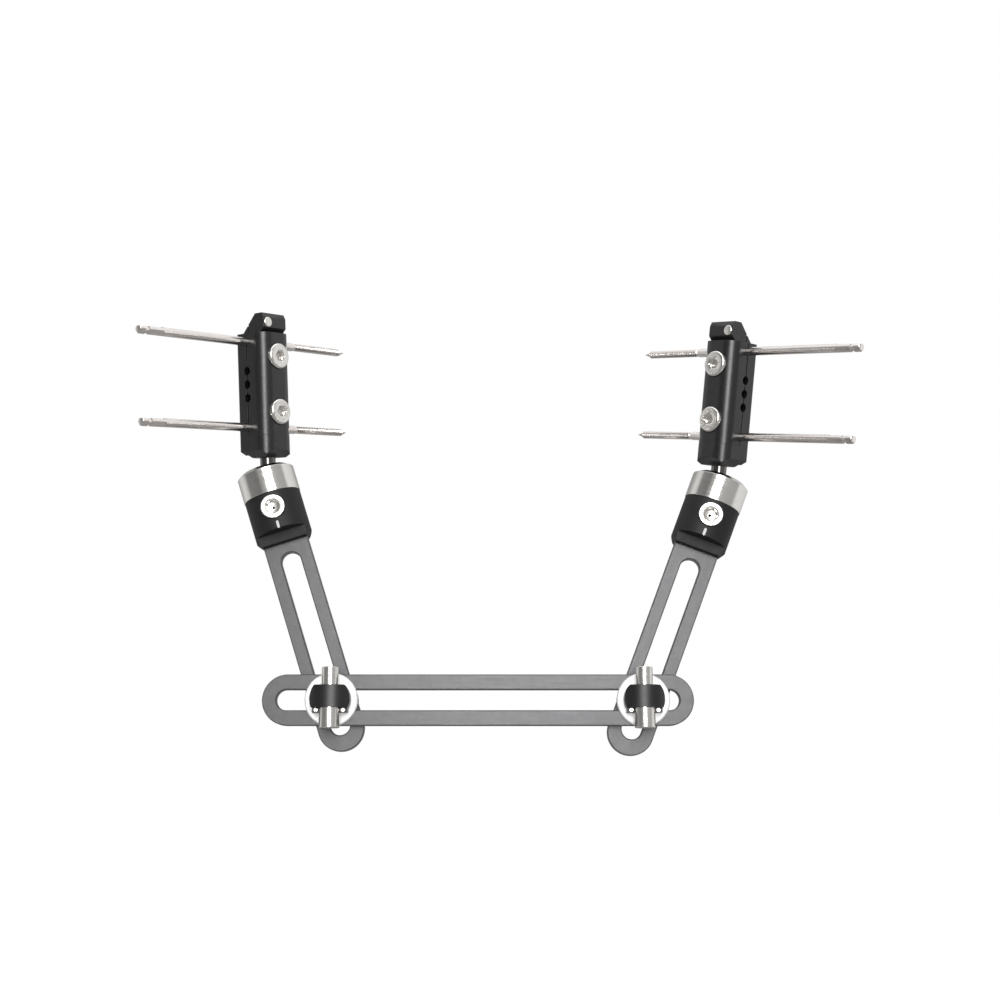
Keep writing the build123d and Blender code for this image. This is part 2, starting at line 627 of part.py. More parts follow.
def make_thrust_piece(side):
    """The piston under the ball, with a cup for it."""
    with BuildPart() as thrust:
        with BuildSketch(side.joint.offset(THRUST_BOTTOM)):
            Circle(BUSH_RADIUS)
        extrude(amount=THRUST_TOP - THRUST_BOTTOM)
        with Locations(side.joint.location):
            Sphere(BALL_RADIUS + RUN, mode=Mode.SUBTRACT)
    return thrust


def make_ball_bush(side):
    """The split liner between the ring and the ball."""
    at = side.joint
    with BuildPart() as bush:
        with BuildSketch(at.offset(BUSH_BOTTOM)):
            Circle(BUSH_RADIUS)
        extrude(amount=BUSH_TOP - BUSH_BOTTOM)
        with Locations(at.location):
            Sphere(BALL_RADIUS + RUN, mode=Mode.SUBTRACT)
        with BuildSketch(at.offset(BUSH_BOTTOM)):
            with Locations((BUSH_RADIUS / 2, 0)):
                Rectangle(BUSH_RADIUS + OVERCUT, BUSH_SLIT)
        extrude(amount=BUSH_TOP - BUSH_BOTTOM, mode=Mode.SUBTRACT)
    return bush


def make_ball_stem(side):
    """The ball, its neck and the spigot that the clamp swivels on."""
    at = side.clamp
    spigot_top = CAP_BOTTOM + CAP_FLOOR + STEM_NUT_HEIGHT + FACE_GAP
    with BuildPart() as stem:
        with Locations(at.location):
            Sphere(BALL_RADIUS)
        with BuildSketch(at):
            Circle(NECK_RADIUS)
        extrude(amount=CAP_BOTTOM - FACE_GAP)
        with BuildSketch(at.offset(CAP_BOTTOM - FACE_GAP)):
            Circle(SWIVEL_RADIUS)
        extrude(amount=spigot_top + FACE_GAP - CAP_BOTTOM)
    return stem


def make_stem_nut(side):
    with BuildPart() as nut:
        with BuildSketch(side.clamp.offset(CAP_BOTTOM + CAP_FLOOR + FACE_GAP)):
            RegularPolygon(STEM_NUT_SPAN / 2, 6, major_radius=False)
            Circle(SWIVEL_RADIUS, mode=Mode.SUBTRACT)
        extrude(amount=STEM_NUT_HEIGHT)
    return nut


def clamp_outline(outline, low, high, corners=(BACK_RADIUS, SHOULDER_RADIUS)):
    """Draws the clamp's section between low and high across its thickness."""
    with Locations((0, (low + high) / 2)):
        Rectangle(CLAMP_WIDTH, high - low)
    for level, radius in zip((0, -1), corners):
        if radius:
            fillet(outline.vertices().group_by(Axis.Y)[level], radius)


def cut_seats(side):
    """Takes the five grooves for bone screws out of the open part."""
    with BuildSketch(side_of(side.clamp, -CLAMP_WIDTH)) as seats:
        with Locations(*[(SEAT_Y, height) for height in (*GRIPPED.values(), *EMPTY_SEATS)]):
            Circle(SEAT_RADIUS)
    extrude(seats.sketch, amount=2 * CLAMP_WIDTH, mode=Mode.SUBTRACT)


def make_clamp_body(side):
    at = side.clamp
    slope_start = CLAMP_FRONT - LUG_FRONT_INSET - lug_depth()
    with BuildPart() as body:
        with BuildSketch(at.offset(SEAM)) as outline:
            clamp_outline(outline, CLAMP_BACK, BODY_FRONT, (BACK_RADIUS, 0))
        extrude(amount=BODY_HEIGHT)
        with BuildSketch(side_of(at, lug_middle(side) - LUG_WIDTH / 2)):
            with BuildLine():
                Polyline(
                    (slope_start, CLAMP_TOP - OVERCUT), (slope_start, CLAMP_TOP),
                    (BODY_FRONT, CLAMP_TOP + (BODY_FRONT - slope_start) * LUG_HEIGHT / LUG_SLOPE_RUN),
                    (BODY_FRONT, CLAMP_TOP - OVERCUT), close=True,
                )
            make_face()
        extrude(amount=LUG_WIDTH)
        cut_seats(side)
        with BuildSketch(front_of(at, BODY_FRONT)):
            with Locations(*[(0, height) for height in SCREWS.values()]):
                Circle(SCREW_SHANK_RADIUS + FACE_GAP)
        extrude(amount=BODY_THICKNESS - OVERCUT, mode=Mode.SUBTRACT)
        with BuildSketch(at.offset(SEAM)):
            with GridLocations(2 * CAP_SCREW_SIDE, 0, 2, 1):
                with Locations((0, CAP_SCREW_Y)):
                    Circle(CAP_SCREW_RADIUS)
        extrude(amount=CAP_SCREW_GRIP, mode=Mode.SUBTRACT)
    return body


def lug_depth():
    """From the lug's front to the foot of its slope."""
    return CLAMP_THICKNESS - LUG_FRONT_INSET - BODY_THICKNESS / 2


def make_clamp_cover(side):
    at = side.clamp
    slope_start = CLAMP_FRONT - LUG_FRONT_INSET - lug_depth()
    lug_front = CLAMP_FRONT - LUG_FRONT_INSET
    lug_top = CLAMP_TOP + LUG_HEIGHT
    with BuildPart() as cover:
        with BuildSketch(at.offset(SEAM)) as outline:
            clamp_outline(outline, COVER_BACK, CLAMP_FRONT, (0, SHOULDER_RADIUS))
        extrude(amount=BODY_HEIGHT)
        with BuildSketch(side_of(at, lug_middle(side) - LUG_WIDTH / 2)):
            with BuildLine():
                Polyline(
                    (COVER_BACK, CLAMP_TOP - OVERCUT),
                    (COVER_BACK, CLAMP_TOP + (COVER_BACK - slope_start) * LUG_HEIGHT / LUG_SLOPE_RUN),
                    (slope_start + LUG_SLOPE_RUN, lug_top),
                    (lug_front - LUG_NOTCH / 2, lug_top), (lug_front, lug_top - LUG_NOTCH),
                    (lug_front, CLAMP_TOP + LUG_NOTCH), (lug_front - LUG_NOTCH, CLAMP_TOP),
                    (lug_front - LUG_NOTCH, CLAMP_TOP - OVERCUT), close=True,
                )
            make_face()
        extrude(amount=LUG_WIDTH)
        cut_seats(side)
        with BuildSketch(front_of(at, CLAMP_FRONT)):
            with Locations(*[(0, height) for height in SCREWS.values()]):
                Circle(SCREW_CAP_RADIUS + ROOM)
        extrude(amount=SPOTFACE_DEPTH, mode=Mode.SUBTRACT)
        with BuildSketch(front_of(at, CLAMP_FRONT)):
            with Locations(*[(0, height) for height in SCREWS.values()]):
                Circle(SCREW_SHANK_RADIUS + ROOM)
        extrude(amount=CLAMP_THICKNESS, mode=Mode.SUBTRACT)
        with BuildSketch(front_of(at, CLAMP_FRONT)):
            with Locations((lug_pin_x(side), lug_pin_z())):
                Circle(LUG_PIN_RADIUS)
        extrude(amount=CLAMP_THICKNESS, mode=Mode.SUBTRACT)
    return cover


def lug_middle(side):
    return -side.outward * LUG_SHIFT


def lug_pin_x(side):
    return -side.outward * LUG_PIN_SIDE


def lug_pin_z():
    return CLAMP_TOP + LUG_HEIGHT / 2 + ROOM


def make_lug_pin(side):
    """The bright pin pressed through the cover's lug."""
    at = side.clamp
    front = CLAMP_FRONT - LUG_FRONT_INSET + LUG_PIN_STAND
    with BuildPart() as pin:
        with BuildSketch(front_of(at, front)):
            with Locations((lug_pin_x(side), lug_pin_z())):
                Circle(LUG_PIN_RADIUS)
        extrude(amount=front - COVER_BACK)
        face = pin.faces().filter_by(GeomType.PLANE)
        chamfer(face.edges(), EDGE_BREAK)
    return pin


def make_end_cap(side):
    """The cap below the clamp's two halves, with a pocket for the stem's nut."""
    at = side.clamp
    with BuildPart() as cap:
        with BuildSketch(at.offset(CAP_BOTTOM)) as outline:
            clamp_outline(outline, CLAMP_BACK, CLAMP_FRONT)
        extrude(amount=CAP_HEIGHT)
        with BuildSketch(at.offset(CAP_BOTTOM)):
            Rectangle(CLAMP_WIDTH - 2 * CAP_CHAMFER, CLAMP_THICKNESS - 2 * CAP_CHAMFER)
        extrude(amount=CAP_HEIGHT, taper=-45, mode=Mode.INTERSECT)
        with BuildSketch(at.offset(CAP_BOTTOM)):
            Circle(SWIVEL_RADIUS + RUN)
        extrude(amount=CAP_HEIGHT, mode=Mode.SUBTRACT)
        with BuildSketch(at.offset(CAP_BOTTOM + CAP_FLOOR)):
            Circle(CAP_POCKET_RADIUS)
        extrude(amount=CAP_HEIGHT - CAP_FLOOR, mode=Mode.SUBTRACT)
        with BuildSketch(at.offset(CAP_BOTTOM)):
            with GridLocations(2 * CAP_SCREW_SIDE, 0, 2, 1):
                with Locations((0, CAP_SCREW_Y)):
                    Circle(CAP_SCREW_RADIUS)
        extrude(amount=CAP_HEIGHT, mode=Mode.SUBTRACT)
        with BuildSketch(at.offset(CAP_BOTTOM)):
            with GridLocations(2 * CAP_SCREW_SIDE, 0, 2, 1):
                with Locations((0, CAP_SCREW_Y)):
                    Circle(CAP_SCREW_CAP_RADIUS)
        extrude(amount=CAP_SCREW_SINK, mode=Mode.SUBTRACT)
    return cap


def make_cap_screws(side):
    """Two screws from the cap's underside into the clamp's body."""
    at = side.clamp
    with BuildPart() as screws:
        with BuildSketch(at.offset(CAP_BOTTOM + CAP_SCREW_SINK)):
            with GridLocations(2 * CAP_SCREW_SIDE, 0, 2, 1):
                with Locations((0, CAP_SCREW_Y)):
                    Circle(CAP_SCREW_RADIUS)
        extrude(amount=CAP_HEIGHT - CAP_SCREW_SINK + CAP_SCREW_GRIP)
    return screws


def make_clamp_screw(side, height):
    at = side.clamp
    with BuildPart() as screw:
        with BuildSketch(front_of(at, SPOTFACE)):
            with Locations((0, height)):
                Circle(SCREW_CAP_RADIUS)
        extrude(amount=-SCREW_CAP_HEIGHT)
        cap = screw.faces().filter_by(GeomType.PLANE).sort_by(Axis(at.origin, at.y_dir))[-1]
        chamfer(cap.edges(), SCREW_CAP_CHAMFER)
        with BuildSketch(front_of(at, SPOTFACE)):
            with Locations((0, height)):
                Circle(SCREW_SHANK_RADIUS)
        extrude(amount=SPOTFACE - CLAMP_BACK - OVERCUT - SCREW_END_GAP)
        with BuildSketch(front_of(at, SPOTFACE + SCREW_CAP_HEIGHT)):
            with Locations((0, height)):
                RegularPolygon(SCREW_SOCKET / 2, 6, major_radius=False)
        extrude(amount=SCREW_SOCKET_DEPTH, mode=Mode.SUBTRACT)
    return screw


def make_bone_screw(side, height):
    """A smooth shank with a chuck end outside and a thinner threaded end inside."""
    at = side.clamp
    seat = at.from_local_coords((0, SEAT_Y, height))
    outer = CLAMP_WIDTH / 2 + OUTER_REACH
    inner = outer - BONE_SCREW_LENGTH
    groove = outer - CHUCK_GROOVE_FROM_END
    shaft = Plane(origin=seat, x_dir=at.z_dir, z_dir=at.x_dir * -side.outward)
    with BuildPart() as screw:
        with BuildSketch(section_of(shaft)):
            with BuildLine():
                Polyline(
                    (0, inner), (TIP_RADIUS, inner), (THREAD_SCREW_RADIUS, inner + TIP_LENGTH),
                    (THREAD_SCREW_RADIUS, inner + THREAD_LENGTH),
                    (BONE_SCREW_RADIUS, inner + THREAD_LENGTH + OVERCUT),
                    (BONE_SCREW_RADIUS, groove - CHUCK_GROOVE_LENGTH),
                    (CHUCK_GROOVE_RADIUS, groove - CHUCK_GROOVE_LENGTH + EDGE_BREAK),
                    (CHUCK_GROOVE_RADIUS, groove - EDGE_BREAK), (BONE_SCREW_RADIUS, groove),
                    (BONE_SCREW_RADIUS, outer - EDGE_BREAK), (BONE_SCREW_RADIUS - EDGE_BREAK, outer),
                    (0, outer), close=True,
                )
            make_face()
        revolve(axis=axis_of(shaft))
        with BuildSketch(shaft.offset(outer - CHUCK_LENGTH)):
            with PolarLocations(BONE_SCREW_RADIUS, 3):
                Rectangle(2 * CHUCK_FLAT, 2 * BONE_SCREW_RADIUS)
        extrude(amount=CHUCK_LENGTH, mode=Mode.SUBTRACT)
    return screw


def make_side(name, side):
    pieces = {
        "front_washer": make_front_washer(side),
        "cam_head": make_cam_head(side),
        "head_screws": make_head_screws(side),
        "rear_disc": make_rear_disc(side),
        "link_bolt": make_link_bolt(side),
        "arm_guide": make_arm_guide(side),
        "link_cam": make_link_cam(side),
        "cam_nut": make_cam_nut(side),
        "slotted_arm": make_slotted_arm(side),
        "arm_pins": make_arm_pins(side),
        "joint_housing": make_joint_housing(side),
        "lock_ring": make_lock_ring(side),
        "joint_cam": make_joint_cam(side),
        "cam_clip": make_cam_clip(side),
        "thrust_piece": make_thrust_piece(side),
        "ball_bush": make_ball_bush(side),
        "ball_stem": make_ball_stem(side),
        "stem_nut": make_stem_nut(side),
        "end_cap": make_end_cap(side),
        "cap_screws": make_cap_screws(side),
        "clamp_body": make_clamp_body(side),
        "clamp_cover": make_clamp_cover(side),
        "lug_pin": make_lug_pin(side),
    }
    for level in ("lower", "upper"):
        pieces[f"clamp_screw_{level}"] = make_clamp_screw(side, SCREWS[level])
        pieces[f"bone_screw_{level}"] = make_bone_screw(side, GRIPPED[level])
    for piece, made in pieces.items():
        save(made, f"{name}_{piece}")


os.makedirs("parts", exist_ok=True)
save(make_cross_bar(), "cross_bar")
for side_name, pose in SIDES.items():
    make_side(side_name, place(**pose))
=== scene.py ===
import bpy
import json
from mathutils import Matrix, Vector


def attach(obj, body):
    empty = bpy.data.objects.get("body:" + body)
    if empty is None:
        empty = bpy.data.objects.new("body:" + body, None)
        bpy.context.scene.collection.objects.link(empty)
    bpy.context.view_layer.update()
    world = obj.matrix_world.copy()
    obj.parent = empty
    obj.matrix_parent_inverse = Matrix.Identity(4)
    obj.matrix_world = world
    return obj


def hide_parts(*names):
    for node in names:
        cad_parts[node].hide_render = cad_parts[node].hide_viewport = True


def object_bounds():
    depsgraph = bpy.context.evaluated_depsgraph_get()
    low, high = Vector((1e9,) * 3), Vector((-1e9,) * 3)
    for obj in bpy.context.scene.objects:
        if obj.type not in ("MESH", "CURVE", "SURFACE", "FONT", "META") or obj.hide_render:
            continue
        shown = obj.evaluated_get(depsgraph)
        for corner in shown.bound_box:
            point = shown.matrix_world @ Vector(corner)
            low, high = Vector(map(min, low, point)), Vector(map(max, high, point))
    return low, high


bl_info = {
    "name": "Pelvic external fixator",
    "version": (1, 0, 0),
    "blender": (4, 5, 0),
    "location": "3D View > Sidebar > Fixator",
    "description": "Finishes the pieces of a pelvic external fixator and sets a studio around it",
    "category": "Object",
}

import json
from math import cos, pi, radians, sin, sqrt, tan, tau

import bmesh
import bpy
from bpy.props import FloatProperty, FloatVectorProperty, PointerProperty
from mathutils import Matrix, Vector

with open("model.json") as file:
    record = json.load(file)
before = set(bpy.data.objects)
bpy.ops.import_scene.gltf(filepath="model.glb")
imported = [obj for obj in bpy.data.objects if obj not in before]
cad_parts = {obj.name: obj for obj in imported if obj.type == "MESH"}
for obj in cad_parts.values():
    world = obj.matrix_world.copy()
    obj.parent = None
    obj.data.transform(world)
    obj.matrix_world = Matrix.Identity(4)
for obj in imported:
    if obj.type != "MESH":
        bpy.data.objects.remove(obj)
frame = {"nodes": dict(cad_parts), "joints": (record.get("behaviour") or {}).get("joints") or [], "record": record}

MM = 0.001
SIDES = ("left", "right")
LEVELS = ("lower", "upper")
JOINTS = {joint["name"]: joint for joint in frame["joints"]}
MOUNTS = {mount["name"]: mount for mount in frame["record"]["mounts"]}
BODY_OF = {node: body for body, nodes in frame["record"]["behaviour"]["bodies"].items() for node in nodes}
CAD_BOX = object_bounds()
HAIR = 0.01 * MM
IMAGE = 1000
SENSOR = 36.0
# Nearly all of a noise's values lie in this range
NOISE_RANGE = (0.3, 0.7)


def frame_at(origin, axis, across=(1, 0, 0)):
    """A matrix at origin whose Z is the axis and whose X lies as near to across as it can."""
    up = Vector(axis).normalized()
    side = Vector(across) - up * up.dot(Vector(across))
    side.normalize()
    turn = Matrix((side, up.cross(side), up)).transposed().to_4x4()
    return Matrix.Translation(Vector(origin)) @ turn


def joint_frame(name):
    """At a joint, with Z along its axis."""
    return frame_at(JOINTS[name]["pos_m"], JOINTS[name]["axis"])


def clamp_frame(side):
    """At the ball's centre, with Z up the clamp and Y out of its front."""
    up = Vector(JOINTS[f"{side}_clamp_swivel"]["axis"])
    front = Vector(JOINTS[f"{side}_clamp_screw_upper_turn"]["axis"])
    return frame_at(JOINTS[f"{side}_clamp_swivel"]["pos_m"], up, front.cross(up))


def bone_screw_frame(side, level):
    """On the bone screw's axis, with Z towards its outer end and X down the clamp."""
    outwards = JOINTS[f"{side}_bone_screw_{level}_slide"]["axis"]
    down = -Vector(JOINTS[f"{side}_clamp_swivel"]["axis"])
    return frame_at(MOUNTS[f"{side}_{level}_bone_end"]["pos_m"], outwards, down)


def joint_cam_frame(side):
    """On the joint cam's axis, with Z out of the housing's front and X up the arm."""
    up = JOINTS[f"{side}_ball_spin"]["axis"]
    return frame_at(JOINTS[f"{side}_joint_cam_turn"]["pos_m"], (0, -1, 0), up)


def joint_axis_height(side):
    """Where the ball joint's own axis crosses the Z of the joint cam's frame."""
    return JOINTS[f"{side}_joint_cam_turn"]["pos_m"][1] - JOINTS[f"{side}_ball_spin"]["pos_m"][1]


def span(node, place):
    """The lowest and highest corners of a node, measured in the frame of place."""
    back = place.inverted()
    points = [back @ vert.co for vert in frame["nodes"][node].data.vertices]
    low = Vector([min(point[i] for point in points) for i in range(3)])
    high = Vector([max(point[i] for point in points) for i in range(3)])
    return low, high


# Settings


class FinishSettings(bpy.types.PropertyGroup):
    edge: FloatProperty(
        name="Edge", description="Radius of the broken edges of turned pieces",
        default=0.35 * MM, unit="LENGTH")
    black: FloatVectorProperty(
        name="Black anodising", description="Colour of the clamps, cam heads and joint housings",
        default=(0.012, 0.012, 0.013), subtype="COLOR")
    grey: FloatVectorProperty(
        name="Grey anodising", description="Colour of the cross bar and the arms",
        default=(0.11, 0.11, 0.113), subtype="COLOR")
    steel: FloatVectorProperty(
        name="Steel", description="Colour of turned and polished steel",
        default=(0.74, 0.72, 0.69), subtype="COLOR")
    screw_steel: FloatVectorProperty(
        name="Bone screw steel", description="Colour of the bone screws",
        default=(0.80, 0.755, 0.725), subtype="COLOR")
    disc: FloatVectorProperty(
        name="Bright discs", description="Colour of the discs behind the cam heads",
        default=(0.92, 0.92, 0.91), subtype="COLOR")
    paint: FloatVectorProperty(
        name="Index paint", description="Colour of the paint in the index marks",
        default=(0.82, 0.82, 0.80), subtype="COLOR")
    # Painted shade: the balls' steel is set far darker than the other steels, so its colour stands in for the
    # shade and dark reflections on the necks
    ball_steel_painted_shade: FloatVectorProperty(
        name="Ball steel", description="Colour of the hardened balls and their necks",
        default=(0.16, 0.155, 0.15), subtype="COLOR")
    liner: FloatVectorProperty(
        name="Liner", description="Colour of the liner round each ball",
        default=(0.8, 0.79, 0.74), subtype="COLOR")


class JointSettings(bpy.types.PropertyGroup):
    thread_radius: FloatProperty(
        name="Ring thread", description="Radius of the lock ring's thread",
        default=17.0 * MM, unit="LENGTH")
    seat_radius: FloatProperty(
        name="Ring seat", description="Radius of the liner's seat in the ring",
        default=15.05 * MM, unit="LENGTH")
    seat_height: FloatProperty(
        name="Seat height", description="Top of the liner's seat above the ball's centre",
        default=6.6 * MM, unit="LENGTH")
    seat_foot: FloatProperty(
        name="Seat foot", description="Where the seat meets the housing, from the ball's centre",
        default=-2.1 * MM, unit="LENGTH")
    mouth_radius: FloatProperty(
        name="Mouth", description="Narrowest radius of the ring above the ball",
        default=11.02 * MM, unit="LENGTH")
    flare: FloatProperty(
        name="Mouth flare", description="How much the mouth widens to the ring's top",
        default=2.5 * MM, unit="LENGTH")
    slope_width: FloatProperty(
        name="Slope width", description="Width of the ring's sloping shoulder",
        default=4.0 * MM, unit="LENGTH")
    slope_height: FloatProperty(
        name="Slope height", description="Height of the ring's sloping shoulder",
        default=2.7 * MM, unit="LENGTH")
    neck_radius: FloatProperty(
        name="Neck", description="Radius of the ball's neck", default=5.5 * MM, unit="LENGTH")
    neck_fillet: FloatProperty(
        name="Neck fillet", description="Rounding between the ball and its neck",
        default=2.0 * MM, unit="LENGTH")
    neck_gap: FloatProperty(
        name="Neck gap", description="Between the neck's shoulder and the end cap",
        default=0.1 * MM, unit="LENGTH")
    spigot_radius: FloatProperty(
        name="Spigot", description="Radius of the spigot above the neck", default=4.5 * MM, unit="LENGTH")
    mark_width: FloatProperty(
        name="Mark width", description="Width of the index mark", default=1.9 * MM, unit="LENGTH")
    mark_length: FloatProperty(
        name="Mark length", description="Length of the index mark", default=5.5 * MM, unit="LENGTH")
    mark_floor: FloatProperty(
        name="Mark floor", description="From the joint's axis to the floor of the index mark",
        default=19.5 * MM, unit="LENGTH")
    mark_paint: FloatProperty(
        name="Paint", description="Thickness of the paint in the index mark",
        default=0.3 * MM, unit="LENGTH")
    mark_drop: FloatProperty(
        name="Mark drop", description="From the cam's axis to the middle of the index mark",
        default=13.15 * MM, unit="LENGTH")


class CamSettings(bpy.types.PropertyGroup):
    flange: FloatProperty(
        name="Flange", description="Thickness of the joint cam's flange", default=3.4 * MM, unit="LENGTH")
    journal_radius: FloatProperty(
        name="Journal", description="Radius of the cams' journals", default=7.0 * MM, unit="LENGTH")
    eccentric_radius: FloatProperty(
        name="Eccentric", description="Radius of the joint cam's eccentric",
        default=6.0 * MM, unit="LENGTH")
    throw: FloatProperty(
        name="Throw", description="How far the joint cam's eccentric stands off its axis",
        default=0.5 * MM, unit="LENGTH")
    reach: FloatProperty(
        name="Eccentric reach", description="Where the joint cam's eccentric ends, from the joint's axis",
        default=15.1 * MM, unit="LENGTH")
    tail_radius: FloatProperty(
        name="Tail", description="Radius of the joint cam's rear end", default=5.0 * MM, unit="LENGTH")
    groove: FloatProperty(
        name="Clip groove", description="Depth of the groove for the clip", default=0.8 * MM, unit="LENGTH")
    joint_key: FloatProperty(
        name="Joint key", description="Width of the joint cam's socket across its flats",
        default=8.0 * MM, unit="LENGTH")
    joint_key_depth: FloatProperty(
        name="Joint key depth", description="Depth of the joint cam's socket",
        default=5.0 * MM, unit="LENGTH")
    link_key: FloatProperty(
        name="Link key", description="Width and depth of the link cam's socket",
        default=6.0 * MM, unit="LENGTH")
    shoulder: FloatProperty(
        name="Link shoulder", description="Where the link cam's journal ends, from the bolt's axis",
        default=5.0 * MM, unit="LENGTH")
    waist_radius: FloatProperty(
        name="Link waist", description="Radius of the link cam in the bolt's eye",
        default=2.4 * MM, unit="LENGTH")
    stud_radius: FloatProperty(
        name="Link stud", description="Radius of the link cam's upper stud",
        default=1.8 * MM, unit="LENGTH")
    mouth: FloatProperty(
        name="Mouth", description="Width of the countersink round a socket",
        default=0.5 * MM, unit="LENGTH")


class ClampScrewSettings(bpy.types.PropertyGroup):
    head: FloatProperty(
        name="Head", description="Height of the head above its seat", default=4.6 * MM, unit="LENGTH")
    dome: FloatProperty(
        name="Dome", description="Rounding of the head's rim", default=3.3 * MM, unit="LENGTH")
    key: FloatProperty(
        name="Key", description="Width of the socket across its flats", default=7.0 * MM, unit="LENGTH")
    key_depth: FloatProperty(
        name="Key depth", description="Depth of the socket", default=3.4 * MM, unit="LENGTH")
    mouth: FloatProperty(
        name="Mouth", description="Width of the countersink round the socket",
        default=0.45 * MM, unit="LENGTH")
    shank_radius: FloatProperty(
        name="Shank", description="Radius of the threaded shank", default=4.0 * MM, unit="LENGTH")
    pitch: FloatProperty(
        name="Pitch", description="Pitch of the shank's thread", default=1.25 * MM, unit="LENGTH")


class BoneScrewSettings(bpy.types.PropertyGroup):
    pitch: FloatProperty(
        name="Pitch", description="Pitch of the cutting thread", default=1.75 * MM, unit="LENGTH")
    thread_radius: FloatProperty(
        name="Thread", description="Outer radius of the cutting thread", default=2.75 * MM, unit="LENGTH")
    core_radius: FloatProperty(
        name="Core", description="Radius between the threads", default=2.1 * MM, unit="LENGTH")
    thread_length: FloatProperty(
        name="Threaded length", description="From the point to the end of the thread",
        default=56.0 * MM, unit="LENGTH")
    tip: FloatProperty(
        name="Point", description="Length of the three-sided point", default=7.0 * MM, unit="LENGTH")
    tip_flat: FloatProperty(
        name="Point flats", description="Share of the point's radius that its flats leave",
        default=0.6, subtype="FACTOR")
    chuck: FloatProperty(
        name="Chuck end", description="Length of the three-sided chuck end",
        default=20.0 * MM, unit="LENGTH")
    chuck_flat: FloatProperty(
        name="Chuck flats", description="How deep the chuck end's flats are",
        default=0.6 * MM, unit="LENGTH")
    groove_from_end: FloatProperty(
        name="Groove", description="From the outer end to the groove", default=5.0 * MM, unit="LENGTH")
    groove_width: FloatProperty(
        name="Groove width", description="Width of the groove", default=3.0 * MM, unit="LENGTH")
    groove_radius: FloatProperty(
        name="Groove radius", description="Radius in the groove", default=2.2 * MM, unit="LENGTH")


class StageSettings(bpy.types.PropertyGroup):
    floor_depth: FloatProperty(
        name="Floor depth", description="How far the floor lies below the cross bar's centre",
        default=0.25, unit="LENGTH")
    floor_size: FloatProperty(
        name="Floor size", description="Length of the floor's sides", default=60.0, unit="LENGTH")
    floor_white: FloatProperty(
        name="Floor white", description="Share of the light that the floor sends back",
        default=0.9, subtype="FACTOR")
    floor_glow: FloatProperty(
        name="Floor glow", description="How far the floor is lifted towards white where it is seen",
        default=0.45, subtype="FACTOR")
    card_radius: FloatProperty(
        name="Card radius", description="Radius of the ring of cards round the object",
        default=2.3, unit="LENGTH")
    card_rise: FloatProperty(
        name="Card rise", description="How far the dark card lies above the floor",
        default=0.01, unit="LENGTH")
    room: FloatProperty(
        name="Ambient light", description="Strength of the light from all around", default=0.66)
    strip_strength: FloatProperty(
        name="Strip light", description="Power of the upright strip light that gloss reflects",
        default=34.0, unit="POWER")
    fill_strength: FloatProperty(
        name="Fill light", description="Power of the soft light before the object",
        default=9.0, unit="POWER")
    strip_width: FloatProperty(
        name="Strip width", description="Width of the strip light", default=0.75, unit="LENGTH")
    strip_height: FloatProperty(
        name="Strip height", description="Height of the strip light", default=1.5, unit="LENGTH")
    strip_distance: FloatProperty(
        name="Strip distance", description="From the object to the strip light",
        default=1.7, unit="LENGTH")
    strip_across: FloatProperty(
        name="Strip across", description="How far the strip light stands to the right",
        default=0.07, unit="LENGTH")
    strip_rise: FloatProperty(
        name="Strip rise", description="How far the strip light stands above the cross bar",
        default=0.4, unit="LENGTH")
    top_size: FloatProperty(
        name="Top size", description="Length of the top light's sides", default=1.6, unit="LENGTH")
    top_place: FloatVectorProperty(
        name="Top place", description="Where the top light hangs", default=(0.1, -0.4, 1.8),
        subtype="TRANSLATION")
    top_strength: FloatProperty(
        name="Top light", description="Power of the soft light above the object",
        default=6.0, unit="POWER")
    view_distance: FloatProperty(
        name="View distance", description="From the camera to the cross bar's centre, along the view",
        default=1.0, unit="LENGTH")
    view_rise: FloatProperty(
        name="View rise", description="How far the camera looks up", default=radians(12.0), subtype="ANGLE")
    bar_x: FloatProperty(
        name="Bar centre across", description="Where the bar's centre stands in the 1000 pixel wide image",
        default=478.0, subtype="PIXEL")
    bar_y: FloatProperty(
        name="Bar centre down", description="Where the bar's centre stands in the 1000 pixel high image",
        default=700.3, subtype="PIXEL")
    focal: FloatProperty(
        name="Focal length", description="Focal length in pixels of the 1000 pixel wide image",
        default=1450.0, subtype="PIXEL")


# Materials


